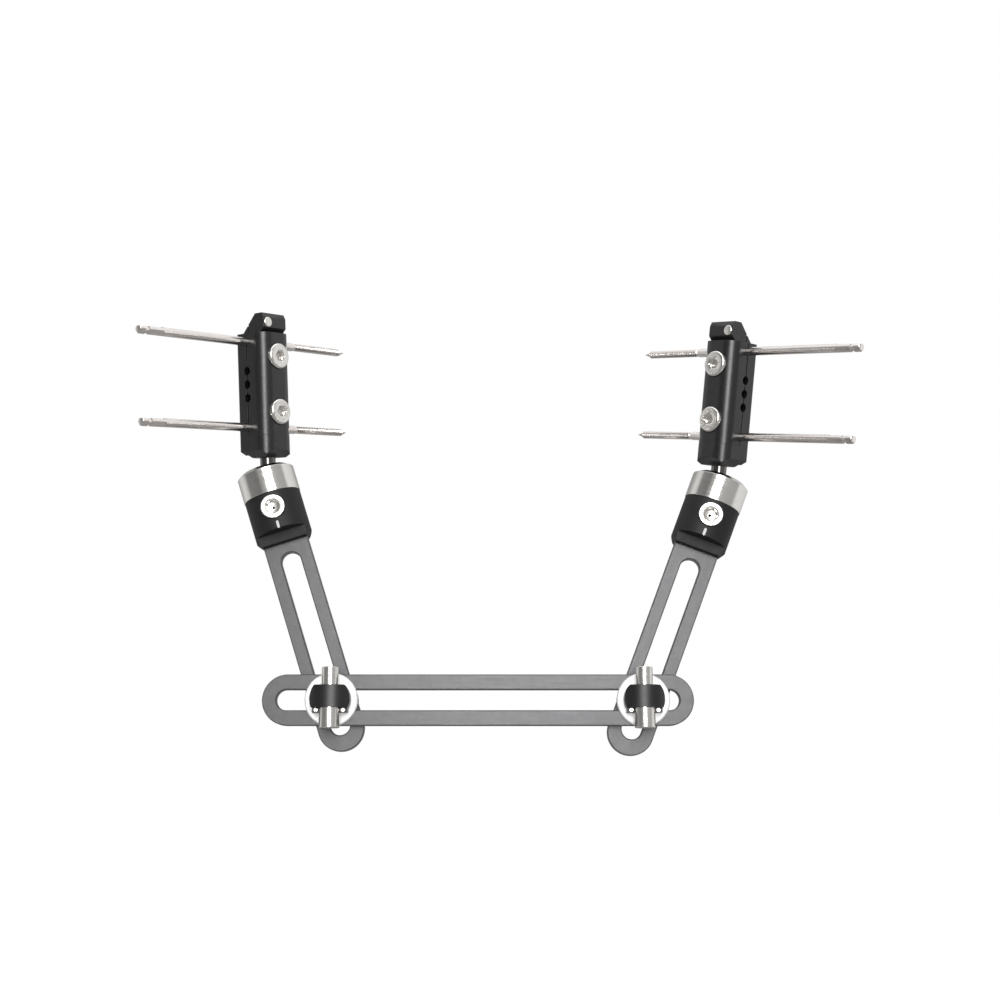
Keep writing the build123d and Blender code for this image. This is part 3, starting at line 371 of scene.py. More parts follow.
class Surface:
    """A procedural material whose patterns read Object coordinates."""

    def __init__(self, name, colour, metallic, roughness, local=Matrix.Identity(4)):
        self.material = bpy.data.materials.new(name)
        self.material.use_nodes = True
        self.tree = self.material.node_tree
        self.shader = self.tree.nodes["Principled BSDF"]
        self.shader.inputs["Metallic"].default_value = metallic
        self.colour = colour
        self.roughness = roughness
        self.normal = None
        place = self.add("ShaderNodeMapping")
        back = local.inverted()
        place.inputs["Location"].default_value = back.translation
        place.inputs["Rotation"].default_value = back.to_euler()
        self.link(self.add("ShaderNodeTexCoord").outputs["Object"], place.inputs["Vector"])
        self.local = place.outputs["Vector"]

    def add(self, kind, **settings):
        node = self.tree.nodes.new(kind)
        for name, value in settings.items():
            setattr(node, name, value)
        return node

    def link(self, source, target):
        self.tree.links.new(source, target)

    def stretched(self, scale):
        """The local coordinates, stretched to draw grain in one direction."""
        place = self.add("ShaderNodeMapping")
        place.inputs["Scale"].default_value = scale
        self.link(self.local, place.inputs["Vector"])
        return place.outputs["Vector"]

    def lathe(self):
        """Radius and height about the local Z axis, which a lathe's tool marks follow."""
        flat = self.add("ShaderNodeVectorMath", operation="MULTIPLY")
        flat.inputs[1].default_value = (1, 1, 0)
        self.link(self.local, flat.inputs[0])
        radius = self.add("ShaderNodeVectorMath", operation="LENGTH")
        self.link(flat.outputs["Vector"], radius.inputs[0])
        parts = self.add("ShaderNodeSeparateXYZ")
        self.link(self.local, parts.inputs["Vector"])
        joined = self.add("ShaderNodeCombineXYZ")
        self.link(radius.outputs["Value"], joined.inputs["X"])
        self.link(parts.outputs["Z"], joined.inputs["Z"])
        return joined.outputs["Vector"]

    def noise(self, size, vector=None, detail=3.0):
        """A noise whose features are about size across."""
        texture = self.add("ShaderNodeTexNoise")
        texture.inputs["Scale"].default_value = 1 / size
        texture.inputs["Detail"].default_value = detail
        self.link(vector or self.local, texture.inputs["Vector"])
        return texture.outputs["Fac"]

    def tint(self, pattern, spread):
        """Varies the colour about its own value, by the spread as a share of it."""
        ramp = self.add("ShaderNodeValToRGB")
        for element, place, share in zip(ramp.color_ramp.elements, NOISE_RANGE, (1 - spread, 1 + spread)):
            element.position = place
            element.color = [share * c for c in self.colour] + [1]
        self.link(pattern, ramp.inputs["Fac"])
        self.link(ramp.outputs["Color"], self.shader.inputs["Base Color"])

    def polish(self, pattern, spread):
        """Varies the roughness about its own value by the spread."""
        reach = self.add("ShaderNodeMapRange")
        reach.inputs["From Min"].default_value, reach.inputs["From Max"].default_value = NOISE_RANGE
        reach.inputs["To Min"].default_value = self.roughness - spread
        reach.inputs["To Max"].default_value = self.roughness + spread
        self.link(pattern, reach.inputs["Value"])
        self.link(reach.outputs["Result"], self.shader.inputs["Roughness"])

    def round_edges(self, radius):
        """Catches the light on sharp edges as a tumbled edge does."""
        edge = self.add("ShaderNodeBevel", samples=6)
        edge.inputs["Radius"].default_value = radius
        self.normal = edge.outputs["Normal"]
        self.link(self.normal, self.shader.inputs["Normal"])

    def relief(self, pattern, height, strength):
        """Adds a fine relief of that height on top of what is there."""
        bump = self.add("ShaderNodeBump")
        bump.inputs["Strength"].default_value = strength
        bump.inputs["Distance"].default_value = height
        self.link(pattern, bump.inputs["Height"])
        if self.normal:
            self.link(self.normal, bump.inputs["Normal"])
        self.normal = bump.outputs["Normal"]
        self.link(self.normal, self.shader.inputs["Normal"])


def black_anodised(finish, name, roughness, sheen):
    """Satin black: a bead-blasted grain under a slightly cloudy dye."""
    surface = Surface(name, finish.black, 0.0, roughness)
    surface.shader.inputs["Specular IOR Level"].default_value = sheen
    surface.tint(surface.noise(9 * MM, detail=5), 0.16)
    surface.polish(surface.noise(2.5 * MM, detail=4), 0.03)
    surface.round_edges(0.45 * MM)
    surface.relief(surface.noise(0.22 * MM, detail=2), 0.02 * MM, 0.3)
    return surface.material


def grey_anodised(finish, name, along):
    """Grey: rolled plate with a faint grain along it, blasted and dyed."""
    surface = Surface(name, finish.grey, 0.2, 0.36, local=along)
    surface.shader.inputs["Specular IOR Level"].default_value = 0.3
    grain = surface.noise(1.0 * MM, surface.stretched((0.04, 1, 1)), detail=4)
    surface.tint(surface.noise(5 * MM, detail=5), 0.07)
    surface.polish(grain, 0.05)
    surface.round_edges(0.3 * MM)
    surface.relief(grain, 0.03 * MM, 0.12)
    surface.relief(surface.noise(0.3 * MM, detail=2), 0.02 * MM, 0.25)
    return surface.material


def turned_steel(finish, name, axis, roughness=0.22):
    """Steel with the tool marks of a lathe round its axis."""
    surface = Surface(name, finish.steel, 1.0, roughness, local=axis)
    marks = surface.noise(0.35 * MM, surface.lathe(), detail=3)
    surface.tint(surface.noise(7 * MM, detail=3), 0.04)
    surface.polish(marks, 0.06)
    surface.relief(marks, 0.01 * MM, 0.3)
    return surface.material


def polished_steel(finish, name, colour=None, roughness=0.15):
    """Polished steel with faint wiping marks."""
    surface = Surface(name, colour or finish.steel, 1.0, roughness)
    surface.tint(surface.noise(6 * MM, detail=3), 0.03)
    surface.polish(surface.noise(1.2 * MM, detail=4), 0.04)
    surface.relief(surface.noise(0.5 * MM, detail=3), 0.004 * MM, 0.3)
    return surface.material


def bright_disc(finish):
    """Bright blasted steel."""
    surface = Surface("bright_disc", finish.disc, 0.25, 0.5)
    surface.tint(surface.noise(4 * MM, detail=3), 0.02)
    surface.polish(surface.noise(1.0 * MM, detail=4), 0.04)
    surface.relief(surface.noise(0.18 * MM, detail=2), 0.01 * MM, 0.3)
    return surface.material


def index_paint(finish):
    """White paint that has settled in a milled mark."""
    surface = Surface("index_paint", finish.paint, 0.0, 0.5)
    surface.tint(surface.noise(0.8 * MM, detail=4), 0.06)
    surface.polish(surface.noise(0.5 * MM), 0.08)
    surface.relief(surface.noise(0.4 * MM), 0.04 * MM, 0.3)
    return surface.material


def polymer_liner(finish):
    """Ivory bearing polymer, moulded smooth."""
    surface = Surface("polymer_liner", finish.liner, 0.0, 0.4)
    surface.tint(surface.noise(3 * MM), 0.04)
    surface.polish(surface.noise(1.5 * MM), 0.05)
    surface.relief(surface.noise(0.6 * MM), 0.01 * MM, 0.2)
    return surface.material


# Meshes


def mesh_of(name, bm, place=Matrix.Identity(4), sharp=radians(32)):
    """Turns a bmesh into a mesh at its place, smooth but for its sharp edges."""
    for face in bm.faces:
        face.smooth = True
    for edge in bm.edges:
        edge.smooth = edge.is_manifold and edge.calc_face_angle(0) < sharp
    mesh = bpy.data.meshes.new(name)
    bm.to_mesh(mesh)
    bm.free()
    mesh.transform(place)
    return mesh


def make_piece(name, mesh, node, material, replaces=True):
    """Adds a finished mesh that rides with a node's body and stands for the node."""
    mesh.materials.append(material)
    piece = bpy.data.objects.new(name, mesh)
    bpy.context.scene.collection.objects.link(piece)
    weighted = piece.modifiers.new("weighted", "WEIGHTED_NORMAL")
    weighted.keep_sharp = True
    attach(piece, BODY_OF[node])
    if replaces:
        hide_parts(node)
    return piece


def finish_node(node, material):
    """Replaces a node by a copy whose facets are joined, so that its round faces shade smoothly."""
    bm = bmesh.new()
    bm.from_mesh(frame["nodes"][node].data)
    bmesh.ops.remove_doubles(bm, verts=bm.verts, dist=0.1 * HAIR)
    make_piece(f"finished_{node}", mesh_of(node, bm), node, material)


def finish_turned(node, bm, place, material):
    """Replaces a node by a turned piece modelled about the Z axis of place."""
    bmesh.ops.recalc_face_normals(bm, faces=bm.faces)
    make_piece(f"turned_{node}", mesh_of(node, bm, place), node, material)


def soften(profile, radius, ring=False, steps=4):
    """Rounds the corners of a profile, by less than the radius where its stretches are short."""
    most = 0.45
    points = [Vector(point) for point in profile]
    count = len(points)
    soft = []
    for i, corner in enumerate(points):
        if not ring and i in (0, count - 1):
            soft.append(corner)
            continue
        before = points[i - 1] - corner
        after = points[(i + 1) % count] - corner
        half = before.angle(after) / 2
        cut = min(radius / tan(half), most * before.length, most * after.length)
        start = corner + before.normalized() * cut
        end = corner + after.normalized() * cut
        for step in range(steps + 1):
            t = step / steps
            soft.append(start * (1 - t) ** 2 + corner * 2 * t * (1 - t) + end * t**2)
    return soft


def turned(bm, profile, ring=False, steps=72, centre=(0, 0)):
    """Spins a half profile of (radius, height) points about Z into a closed skin."""
    old = set(bm.verts)
    points = [bm.verts.new((radius, 0, height)) for radius, height in profile]
    pairs = list(zip(points, points[1:]))
    if ring:
        pairs.append((points[-1], points[0]))
    edges = [bm.edges.new(pair) for pair in pairs]
    bmesh.ops.spin(bm, geom=points + edges, cent=(0, 0, 0), axis=(0, 0, 1), dvec=(0, 0, 0),
                   angle=tau, steps=steps, use_merge=True)
    made = [vert for vert in bm.verts if vert not in old]
    bmesh.ops.remove_doubles(bm, verts=made, dist=0.2 * HAIR)
    made = [vert for vert in bm.verts if vert not in old]
    bmesh.ops.translate(bm, verts=made, vec=(*centre, 0))
    return made


def flatten(verts, sides, reach):
    """Presses vertices in to flats round Z, whose distance from the axis reach gives at a height."""
    for vert in verts:
        radius = vert.co.xy.length
        if radius == 0:
            continue
        turn = Vector((1, 0)).angle_signed(vert.co.xy) % (tau / sides)
        limit = reach(vert.co.z) / cos(turn - pi / sides)
        if radius > limit:
            vert.co.x *= limit / radius
            vert.co.y *= limit / radius


def socket_profile(top, key, depth, mouth):
    """The points from a face inwards to the floor of a hexagon socket."""
    corner = key / 2 / cos(pi / 6)
    return [(corner + mouth, top), (corner, top - mouth), (corner, top - depth),
            (0, top - depth - corner / 3)]


def cut_hexagon(verts, key, floor):
    """Gives the round wall above the floor of a socket its six flats."""
    corner = key / 2 / cos(pi / 6)
    inner = [v for v in verts if v.co.z > floor - HAIR and v.co.xy.length < corner + HAIR]
    flatten(inner, 6, lambda height: key / 2)


def wind_thread(bm, start, end, core, crest, pitch, steps=24):
    """Winds a ridge round Z that runs out into the core at both ends."""
    old = set(bm.verts)
    half = 0.42 * pitch
    sink = 10 * HAIR
    least = 0.05
    section = [(core - sink, -half), (crest, -half / 4), (crest, half / 4), (core - sink, half)]
    points = [bm.verts.new((radius, 0, start + half + height)) for radius, height in section]
    edges = [bm.edges.new((point, points[i - 1])) for i, point in enumerate(points)]
    count = round(((end - start - 2 * half) / pitch) * steps)
    bmesh.ops.spin(bm, geom=points + edges, cent=(0, 0, 0), axis=(0, 0, 1),
                   dvec=(0, 0, pitch / steps), angle=tau * count / steps, steps=count)
    made = [vert for vert in bm.verts if vert not in old]
    open_edges = {edge for vert in made for edge in vert.link_edges if edge.is_boundary}
    bmesh.ops.holes_fill(bm, edges=list(open_edges), sides=4)
    for vert in made:
        share = max(least, min(1.0, (vert.co.z - start) / pitch, (end - vert.co.z) / pitch))
        radius = vert.co.xy.length
        lowered = core - sink + (radius - core + sink) * share
        vert.co.x *= lowered / radius
        vert.co.y *= lowered / radius


# Pieces


class FIXATOR_OT_bar_and_arms(bpy.types.Operator):
    """Gives the cross bar and the arms their grey anodising"""

    bl_idname = "fixator.bar_and_arms"
    bl_label = "Cross bar and arms"

    def execute(self, context):
        finish = context.scene.fixator_finish
        finish_node("cross_bar", grey_anodised(finish, "grey_anodised_bar", Matrix.Identity(4)))
        for side in SIDES:
            along_arm = joint_frame(f"{side}_ball_spin") @ Matrix.Rotation(pi / 2, 4, "Y")
            finish_node(f"{side}_slotted_arm", grey_anodised(finish, f"grey_anodised_{side}_arm", along_arm))
            finish_node(f"{side}_arm_pins", polished_steel(finish, f"{side}_arm_pin_steel"))
        return {"FINISHED"}


class FIXATOR_OT_link_clamps(bpy.types.Operator):
    """Finishes the link clamps: discs, heads, bolts and guides"""

    bl_idname = "fixator.link_clamps"
    bl_label = "Link clamps"

    def execute(self, context):
        finish = context.scene.fixator_finish
        black = black_anodised(finish, "black_anodised_heads", roughness=0.38, sheen=0.45)
        disc = bright_disc(finish)
        for side in SIDES:
            bolt = frame_at(JOINTS[f"{side}_arm_hinge"]["pos_m"], (0, 1, 0))
            bolt_steel = turned_steel(finish, f"{side}_bolt_steel", bolt)
            finish_node(f"{side}_front_washer", disc)
            finish_node(f"{side}_cam_head", black)
            finish_node(f"{side}_rear_disc", black)
            finish_node(f"{side}_link_bolt", bolt_steel)
            finish_node(f"{side}_arm_guide", bolt_steel)
        return {"FINISHED"}


class FIXATOR_OT_head_screws(bpy.types.Operator):
    """Turns the small screws in the ledge of each cam head"""

    bl_idname = "fixator.head_screws"
    bl_label = "Head screws"

    def execute(self, context):
        finish = context.scene.fixator_finish
        for side in SIDES:
            node = f"{side}_head_screws"
            forward = frame_at(JOINTS[f"{side}_arm_hinge"]["pos_m"], (0, -1, 0))
            low, high = span(node, forward)
            radius = (high.y - low.y) / 2
            shank = 0.7 * radius
            seat = high.z - radius
            mouth = 0.45 * radius
            well = 0.35 * radius
            depth = 0.5 * radius
            profile = [(0, low.z), (shank, low.z), (shank, seat), (radius, seat), (radius, high.z)]
            profile += [(mouth, high.z), (well, high.z - depth), (0, high.z - 1.2 * depth)]
            bm = bmesh.new()
            for x in (low.x + radius, high.x - radius):
                turned(bm, soften(profile, 0.25 * radius), steps=36, centre=(x, (low.y + high.y) / 2))
            finish_turned(node, bm, forward, polished_steel(finish, f"{side}_head_screw_steel"))
        return {"FINISHED"}


class FIXATOR_OT_link_cams(bpy.types.Operator):
    """Turns the link clamps' cam spindles and the sleeves on top of them"""

    bl_idname = "fixator.link_cams"
    bl_label = "Link cams"

    def execute(self, context):
        finish = context.scene.fixator_finish
        cam = context.scene.fixator_cam
        for side in SIDES:
            down = joint_frame(f"{side}_link_cam_turn")
            steel = turned_steel(finish, f"{side}_link_cam_steel", down)
            spindle = self.spindle(cam, finish.edge, *span(f"{side}_link_cam", down))
            finish_turned(f"{side}_link_cam", spindle, down, steel)
            sleeve = self.sleeve(cam, finish.edge, *span(f"{side}_cam_nut", down))
            finish_turned(f"{side}_cam_nut", sleeve, down, steel)
        return {"FINISHED"}

    def spindle(self, cam, edge, low, high):
        """A journal with a socket, an eccentric waist in the bolt's eye and a stud."""
        journal = [(0, cam.shoulder), (cam.journal_radius, cam.shoulder), (cam.journal_radius, high.z)]
        journal += socket_profile(high.z, cam.link_key, cam.link_key, cam.mouth)
        stud = [(0, -cam.shoulder), (cam.stud_radius, -cam.shoulder), (cam.stud_radius, low.z), (0, low.z)]
        waist = [(0, -cam.shoulder), (cam.waist_radius, -cam.shoulder)]
        waist += [(cam.waist_radius, cam.shoulder + edge), (0, cam.shoulder + edge)]
        bm = bmesh.new()
        walls = turned(bm, soften(journal, 2 * edge))
        cut_hexagon(walls, cam.link_key, high.z - cam.link_key)
        turned(bm, soften(stud, edge), steps=48)
        turned(bm, waist, steps=48, centre=(0, low.y + cam.journal_radius))
        return bm

    def sleeve(self, cam, edge, low, high):
        """A plain sleeve whose bore is countersunk at its outer end."""
        profile = [(cam.stud_radius, high.z), (cam.stud_radius, low.z + cam.mouth)]
        profile += [(cam.stud_radius + cam.mouth, low.z), (high.x, low.z), (high.x, high.z)]
        bm = bmesh.new()
        turned(bm, soften(profile, 2 * edge, ring=True), ring=True)
        return bm


class FIXATOR_OT_ball_joints(bpy.types.Operator):
    """Finishes the ball joints' housings, liners and inner pieces"""

    bl_idname = "fixator.ball_joints"
    bl_label = "Ball joints"

    def execute(self, context):
        finish = context.scene.fixator_finish
        black = black_anodised(finish, "black_anodised_housings", roughness=0.58, sheen=0.3)
        liner = polymer_liner(finish)
        for side in SIDES:
            inner_steel = turned_steel(finish, f"{side}_thrust_steel", joint_frame(f"{side}_ball_spin"))
            finish_node(f"{side}_joint_housing", black)
            finish_node(f"{side}_thrust_piece", inner_steel)
            finish_node(f"{side}_cam_clip", inner_steel)
            finish_node(f"{side}_ball_bush", liner)
            finish_node(f"{side}_stem_nut", polished_steel(finish, f"{side}_nut_steel"))
        return {"FINISHED"}


class FIXATOR_OT_lock_rings(bpy.types.Operator):
    """Turns the steel rings that lock the ball joints"""

    bl_idname = "fixator.lock_rings"
    bl_label = "Lock rings"

    def execute(self, context):
        finish = context.scene.fixator_finish
        joint = context.scene.fixator_joint
        for side in SIDES:
            node = f"{side}_lock_ring"
            upright = joint_frame(f"{side}_ball_spin")
            low, high = span(node, upright)
            profile = [
                (joint.thread_radius, low.z), (high.x, low.z), (high.x, high.z - joint.slope_height),
                (high.x - joint.slope_width, high.z), (joint.mouth_radius + joint.flare, high.z),
                (joint.mouth_radius, joint.seat_height), (joint.seat_radius, joint.seat_height),
                (joint.seat_radius, joint.seat_foot), (joint.thread_radius, joint.seat_foot),
            ]
            bm = bmesh.new()
            turned(bm, soften(profile, finish.edge, ring=True), ring=True, steps=120)
            steel = turned_steel(finish, f"{side}_ring_steel", upright, roughness=0.16)
            finish_turned(node, bm, upright, steel)
        return {"FINISHED"}


class FIXATOR_OT_ball_stems(bpy.types.Operator):
    """Turns the balls with their necks and spigots"""

    bl_idname = "fixator.ball_stems"
    bl_label = "Balls"

    def execute(self, context):
        finish = context.scene.fixator_finish
        joint = context.scene.fixator_joint
        for side in SIDES:
            node = f"{side}_ball_stem"
            upright = clamp_frame(side)
            low, high = span(node, upright)
            ball = -low.z
            steps = 24
            neck_top = span(f"{side}_end_cap", upright)[0].z - joint.neck_gap
            root = sqrt(ball**2 - joint.neck_radius**2)
            last = pi / 2 - (joint.neck_radius + joint.neck_fillet) / ball
            turns = [-pi / 2 + (last + pi / 2) * step / steps for step in range(steps + 1)]
            profile = [(ball * cos(turn), ball * sin(turn)) for turn in turns]
            neck = soften([profile[-1], (joint.neck_radius, root), (joint.neck_radius, neck_top)],
                          joint.neck_fillet)
            spigot = [(joint.neck_radius, neck_top), (joint.spigot_radius, neck_top),
                      (joint.spigot_radius, high.z), (0, high.z)]
            bm = bmesh.new()
            turned(bm, [*profile[:-1], *neck[:-1], *soften(spigot, finish.edge)])
            # The dark colour of the balls' steel is painted shade, standing in for the shade and dark reflections
            # on the necks
            steel = polished_steel(finish, f"{side}_ball_steel_painted_shade", finish.ball_steel_painted_shade, roughness=0.1)
            finish_turned(node, bm, upright, steel)
        return {"FINISHED"}


class FIXATOR_OT_joint_cams(bpy.types.Operator):
    """Turns the cross cams of the ball joints"""

    bl_idname = "fixator.joint_cams"
    bl_label = "Joint cams"

    def execute(self, context):
        finish = context.scene.fixator_finish
        cam = context.scene.fixator_cam
        for side in SIDES:
            node = f"{side}_joint_cam"
            forward = joint_cam_frame(side)
            clip = span(f"{side}_cam_clip", forward)
            shape = self.shape(cam, finish.edge, joint_axis_height(side), span(node, forward), clip)
            steel = turned_steel(finish, f"{side}_joint_cam_steel", forward, roughness=0.3)
            finish_turned(node, shape, forward, steel)
        return {"FINISHED"}

    def shape(self, cam, edge, middle, ends, clip):
        """A flanged head with a socket, an eccentric about the middle and a tail with a groove."""
        low, high = ends
        front = middle + cam.reach
        back = middle - cam.reach
        spot = high.z - cam.flange
        groove = cam.tail_radius - cam.groove
        head = [(0, front), (cam.journal_radius, front), (cam.journal_radius, spot), (high.x, spot)]
        head.append((high.x, high.z))
        head += socket_profile(high.z, cam.joint_key, cam.joint_key_depth, 2 * cam.mouth)
        tail = [(0, low.z), (cam.tail_radius, low.z), (cam.tail_radius, clip[0].z), (groove, clip[0].z)]
        tail += [(groove, clip[1].z), (cam.tail_radius, clip[1].z), (cam.tail_radius, back), (0, back)]
        lobe = [(0, back), (cam.eccentric_radius, back), (cam.eccentric_radius, front), (0, front)]
        bm = bmesh.new()
        walls = turned(bm, soften(head, 2 * edge), steps=96)
        cut_hexagon(walls, cam.joint_key, high.z - cam.joint_key_depth)
        turned(bm, soften(tail, edge), steps=48)
        turned(bm, lobe, steps=48, centre=(cam.throw, 0))
        return bm


class FIXATOR_OT_index_marks(bpy.types.Operator):
    """Fills the index marks below the joint cams with white paint"""

    bl_idname = "fixator.index_marks"
    bl_label = "Index marks"

    def execute(self, context):
        paint = index_paint(context.scene.fixator_finish)
        joint = context.scene.fixator_joint
        for side in SIDES:
            shape = self.shape(joint, joint_axis_height(side) + joint.mark_floor)
            mesh = mesh_of(f"{side}_index_mark", shape, joint_cam_frame(side))
            make_piece(f"{side}_index_mark", mesh, f"{side}_joint_housing", paint, replaces=False)
        return {"FINISHED"}

    def shape(self, joint, floor):
        """A stadium of paint that lies on the floor of the mark."""
        stretch = (joint.mark_length - joint.mark_width) / 2
        bm = bmesh.new()
        outline = bmesh.ops.create_circle(bm, cap_ends=True, segments=32, radius=joint.mark_width / 2)
        for vert in outline["verts"]:
            vert.co.x += stretch if vert.co.x > 0 else -stretch
        raised = bmesh.ops.extrude_face_region(bm, geom=bm.faces[:])["geom"]
        top = [part for part in raised if isinstance(part, bmesh.types.BMVert)]
        bmesh.ops.translate(bm, verts=top, vec=(0, 0, joint.mark_paint))
        bmesh.ops.translate(bm, verts=bm.verts, vec=(-joint.mark_drop, 0, floor))
        bmesh.ops.recalc_face_normals(bm, faces=bm.faces)
        return bm


class FIXATOR_OT_pin_clamps(bpy.types.Operator):
    """Finishes both halves of the pin clamps, their caps and their hidden screws"""

    bl_idname = "fixator.pin_clamps"
    bl_label = "Pin clamps"

    def execute(self, context):
        finish = context.scene.fixator_finish
        black = black_anodised(finish, "black_anodised_clamps", roughness=0.3, sheen=0.55)
        for side in SIDES:
            finish_node(f"{side}_end_cap", black)
            finish_node(f"{side}_clamp_body", black)
            finish_node(f"{side}_clamp_cover", black)
            finish_node(f"{side}_cap_screws", polished_steel(finish, f"{side}_clamp_steel"))
        return {"FINISHED"}


class FIXATOR_OT_lug_pins(bpy.types.Operator):
    """Turns the cross pins in the clamps' lugs"""

    bl_idname = "fixator.lug_pins"
    bl_label = "Lug pins"

    def execute(self, context):
        finish = context.scene.fixator_finish
        for side in SIDES:
            node = f"{side}_lug_pin"
            forward = clamp_frame(side) @ Matrix.Rotation(-pi / 2, 4, "X")
            low, high = span(node, forward)
            radius = (high.x - low.x) / 2
            profile = [(0, low.z), (radius, low.z), (radius, high.z), (0, high.z)]
            centre = ((low.x + high.x) / 2, (low.y + high.y) / 2)
            bm = bmesh.new()
            turned(bm, soften(profile, 3 * finish.edge), centre=centre)
            finish_turned(node, bm, forward, polished_steel(finish, f"{side}_lug_pin_steel", roughness=0.25))
        return {"FINISHED"}


class FIXATOR_OT_clamp_screws(bpy.types.Operator):
    """Turns the domed clamp screws with their hexagon sockets"""

    bl_idname = "fixator.clamp_screws"
    bl_label = "Clamp screws"

    def execute(self, context):
        finish = context.scene.fixator_finish
        screw = context.scene.fixator_clamp_screw
        for side in SIDES:
            for level in LEVELS:
                node = f"{side}_clamp_screw_{level}"
                axis = joint_frame(f"{node}_turn")
                low, high = span(node, axis)
                radius = high.x
                seat = high.z - screw.head
                core = screw.shank_radius - 0.5 * screw.pitch
                rim = [(core, seat), (radius, seat)]
                dome = soften([(radius, seat), (radius, high.z), (screw.key / 2 + screw.mouth, high.z)],
                              screw.dome, steps=8)
                profile = [(0, low.z), (core, low.z), *rim, *dome[1:-1]]
                profile += socket_profile(high.z, screw.key, screw.key_depth, screw.mouth)
                bm = bmesh.new()
                walls = turned(bm, profile, steps=96)
                cut_hexagon(walls, screw.key, high.z - screw.key_depth)
                wind_thread(bm, low.z, seat, core, screw.shank_radius, screw.pitch)
                steel = turned_steel(finish, f"{node}_steel", axis, roughness=0.2)
                finish_turned(node, bm, axis, steel)
        return {"FINISHED"}


class FIXATOR_OT_bone_screws(bpy.types.Operator):
    """Cuts the bone screws' threads, points and chuck ends"""

    bl_idname = "fixator.bone_screws"
    bl_label = "Bone screws"

    def execute(self, context):
        finish = context.scene.fixator_finish
        screw = context.scene.fixator_bone_screw
        for side in SIDES:
            for level in LEVELS:
                node = f"{side}_bone_screw_{level}"
                axis = bone_screw_frame(side, level)
                low, high = span(node, axis)
                steel = polished_steel(finish, f"{node}_steel", finish.screw_steel, roughness=0.17)
                finish_turned(node, self.shape(screw, finish.edge, low.z, high.z, high.y), axis, steel)
        return {"FINISHED"}

    def shape(self, screw, edge, inner, outer, radius):
        """A shank with a threaded, pointed inner end and a flattened, grooved outer end."""
        steps = 8
        tip_end = inner + screw.tip
        thread_end = inner + screw.thread_length
        groove = outer - screw.groove_from_end
        chuck = outer - screw.chuck
        flat = radius - screw.chuck_flat
        run_out = 5 * HAIR
        shares = [i / steps for i in range(steps + 1)]
        point = [(screw.core_radius * share, inner + screw.tip * share) for share in shares]
        profile = [
            *point, (screw.core_radius, thread_end), (radius, thread_end + radius - screw.core_radius),
            (radius, chuck), (radius, chuck + run_out), (radius, groove - screw.groove_width),
            (screw.groove_radius, groove - screw.groove_width + edge),
            (screw.groove_radius, groove - edge), (radius, groove),
            *soften([(radius, groove), (radius, outer), (0, outer)], 4 * edge)[1:],
        ]
        bm = bmesh.new()
        made = turned(bm, profile)
        slope = screw.tip_flat * screw.core_radius / screw.tip
        flatten([v for v in made if v.co.z < tip_end], 3, lambda z: slope * (z - inner))
        flatten([v for v in made if v.co.z > chuck + run_out / 2], 3, lambda z: flat)
        wind_thread(bm, tip_end - screw.pitch, thread_end,
                    screw.core_radius, screw.thread_radius, screw.pitch)
        return bm


# Stage


def look_along(camera, settings):
    """Sets the camera so that the cross bar's centre falls on its place in the image."""
    view = Vector((0, cos(settings.view_rise), sin(settings.view_rise)))
    up = Vector((0, -sin(settings.view_rise), cos(settings.view_rise)))
    across = Vector((1, 0, 0))
    half = IMAGE / 2
    centre = view + across * (settings.bar_x - half) / settings.focal
    centre += up * (half - settings.bar_y) / settings.focal
    camera.location = -centre * settings.view_distance
    camera.rotation_euler = Matrix((across, up, -view)).transposed().to_euler()
    camera.data.sensor_width = SENSOR
    camera.data.lens = settings.focal * SENSOR / IMAGE


def seen_directly(tree):
    """One for rays of the camera and of gloss and glass, and nought for light that falls on things."""
    rays = tree.nodes.new("ShaderNodeLightPath")
    seen = rays.outputs["Is Camera Ray"]
    for name in ("Is Glossy Ray", "Is Transmission Ray"):
        either = tree.nodes.new("ShaderNodeMath")
        either.operation = "MAXIMUM"
        tree.links.new(seen, either.inputs[0])
        tree.links.new(rays.outputs[name], either.inputs[1])
        seen = either.outputs["Value"]
    return seen


def make_world(room):
    """White where it is seen, and dimmer where it lights."""
    world = bpy.data.worlds.new("studio")
    world.use_nodes = True
    tree = world.node_tree
    light = tree.nodes["Background"]
    light.inputs["Color"].default_value = (1, 1, 1, 1)
    light.inputs["Strength"].default_value = room
    backdrop = tree.nodes.new("ShaderNodeBackground")
    backdrop.inputs["Color"].default_value = (1, 1, 1, 1)
    backdrop.inputs["Strength"].default_value = 1.0
    choice = tree.nodes.new("ShaderNodeMixShader")
    tree.links.new(seen_directly(tree), choice.inputs["Fac"])
    tree.links.new(light.outputs["Background"], choice.inputs[1])
    tree.links.new(backdrop.outputs["Background"], choice.inputs[2])
    tree.links.new(choice.outputs["Shader"], tree.nodes["World Output"].inputs["Surface"])
    return world


def stage_object(name, bm, material):
    """Adds a mesh that belongs to the studio and not to the fixator."""
    mesh = bpy.data.meshes.new(name)
    bm.to_mesh(mesh)
    bm.free()
    mesh.materials.append(material)
    piece = bpy.data.objects.new(name, mesh)
    bpy.context.scene.collection.objects.link(piece)
    return piece


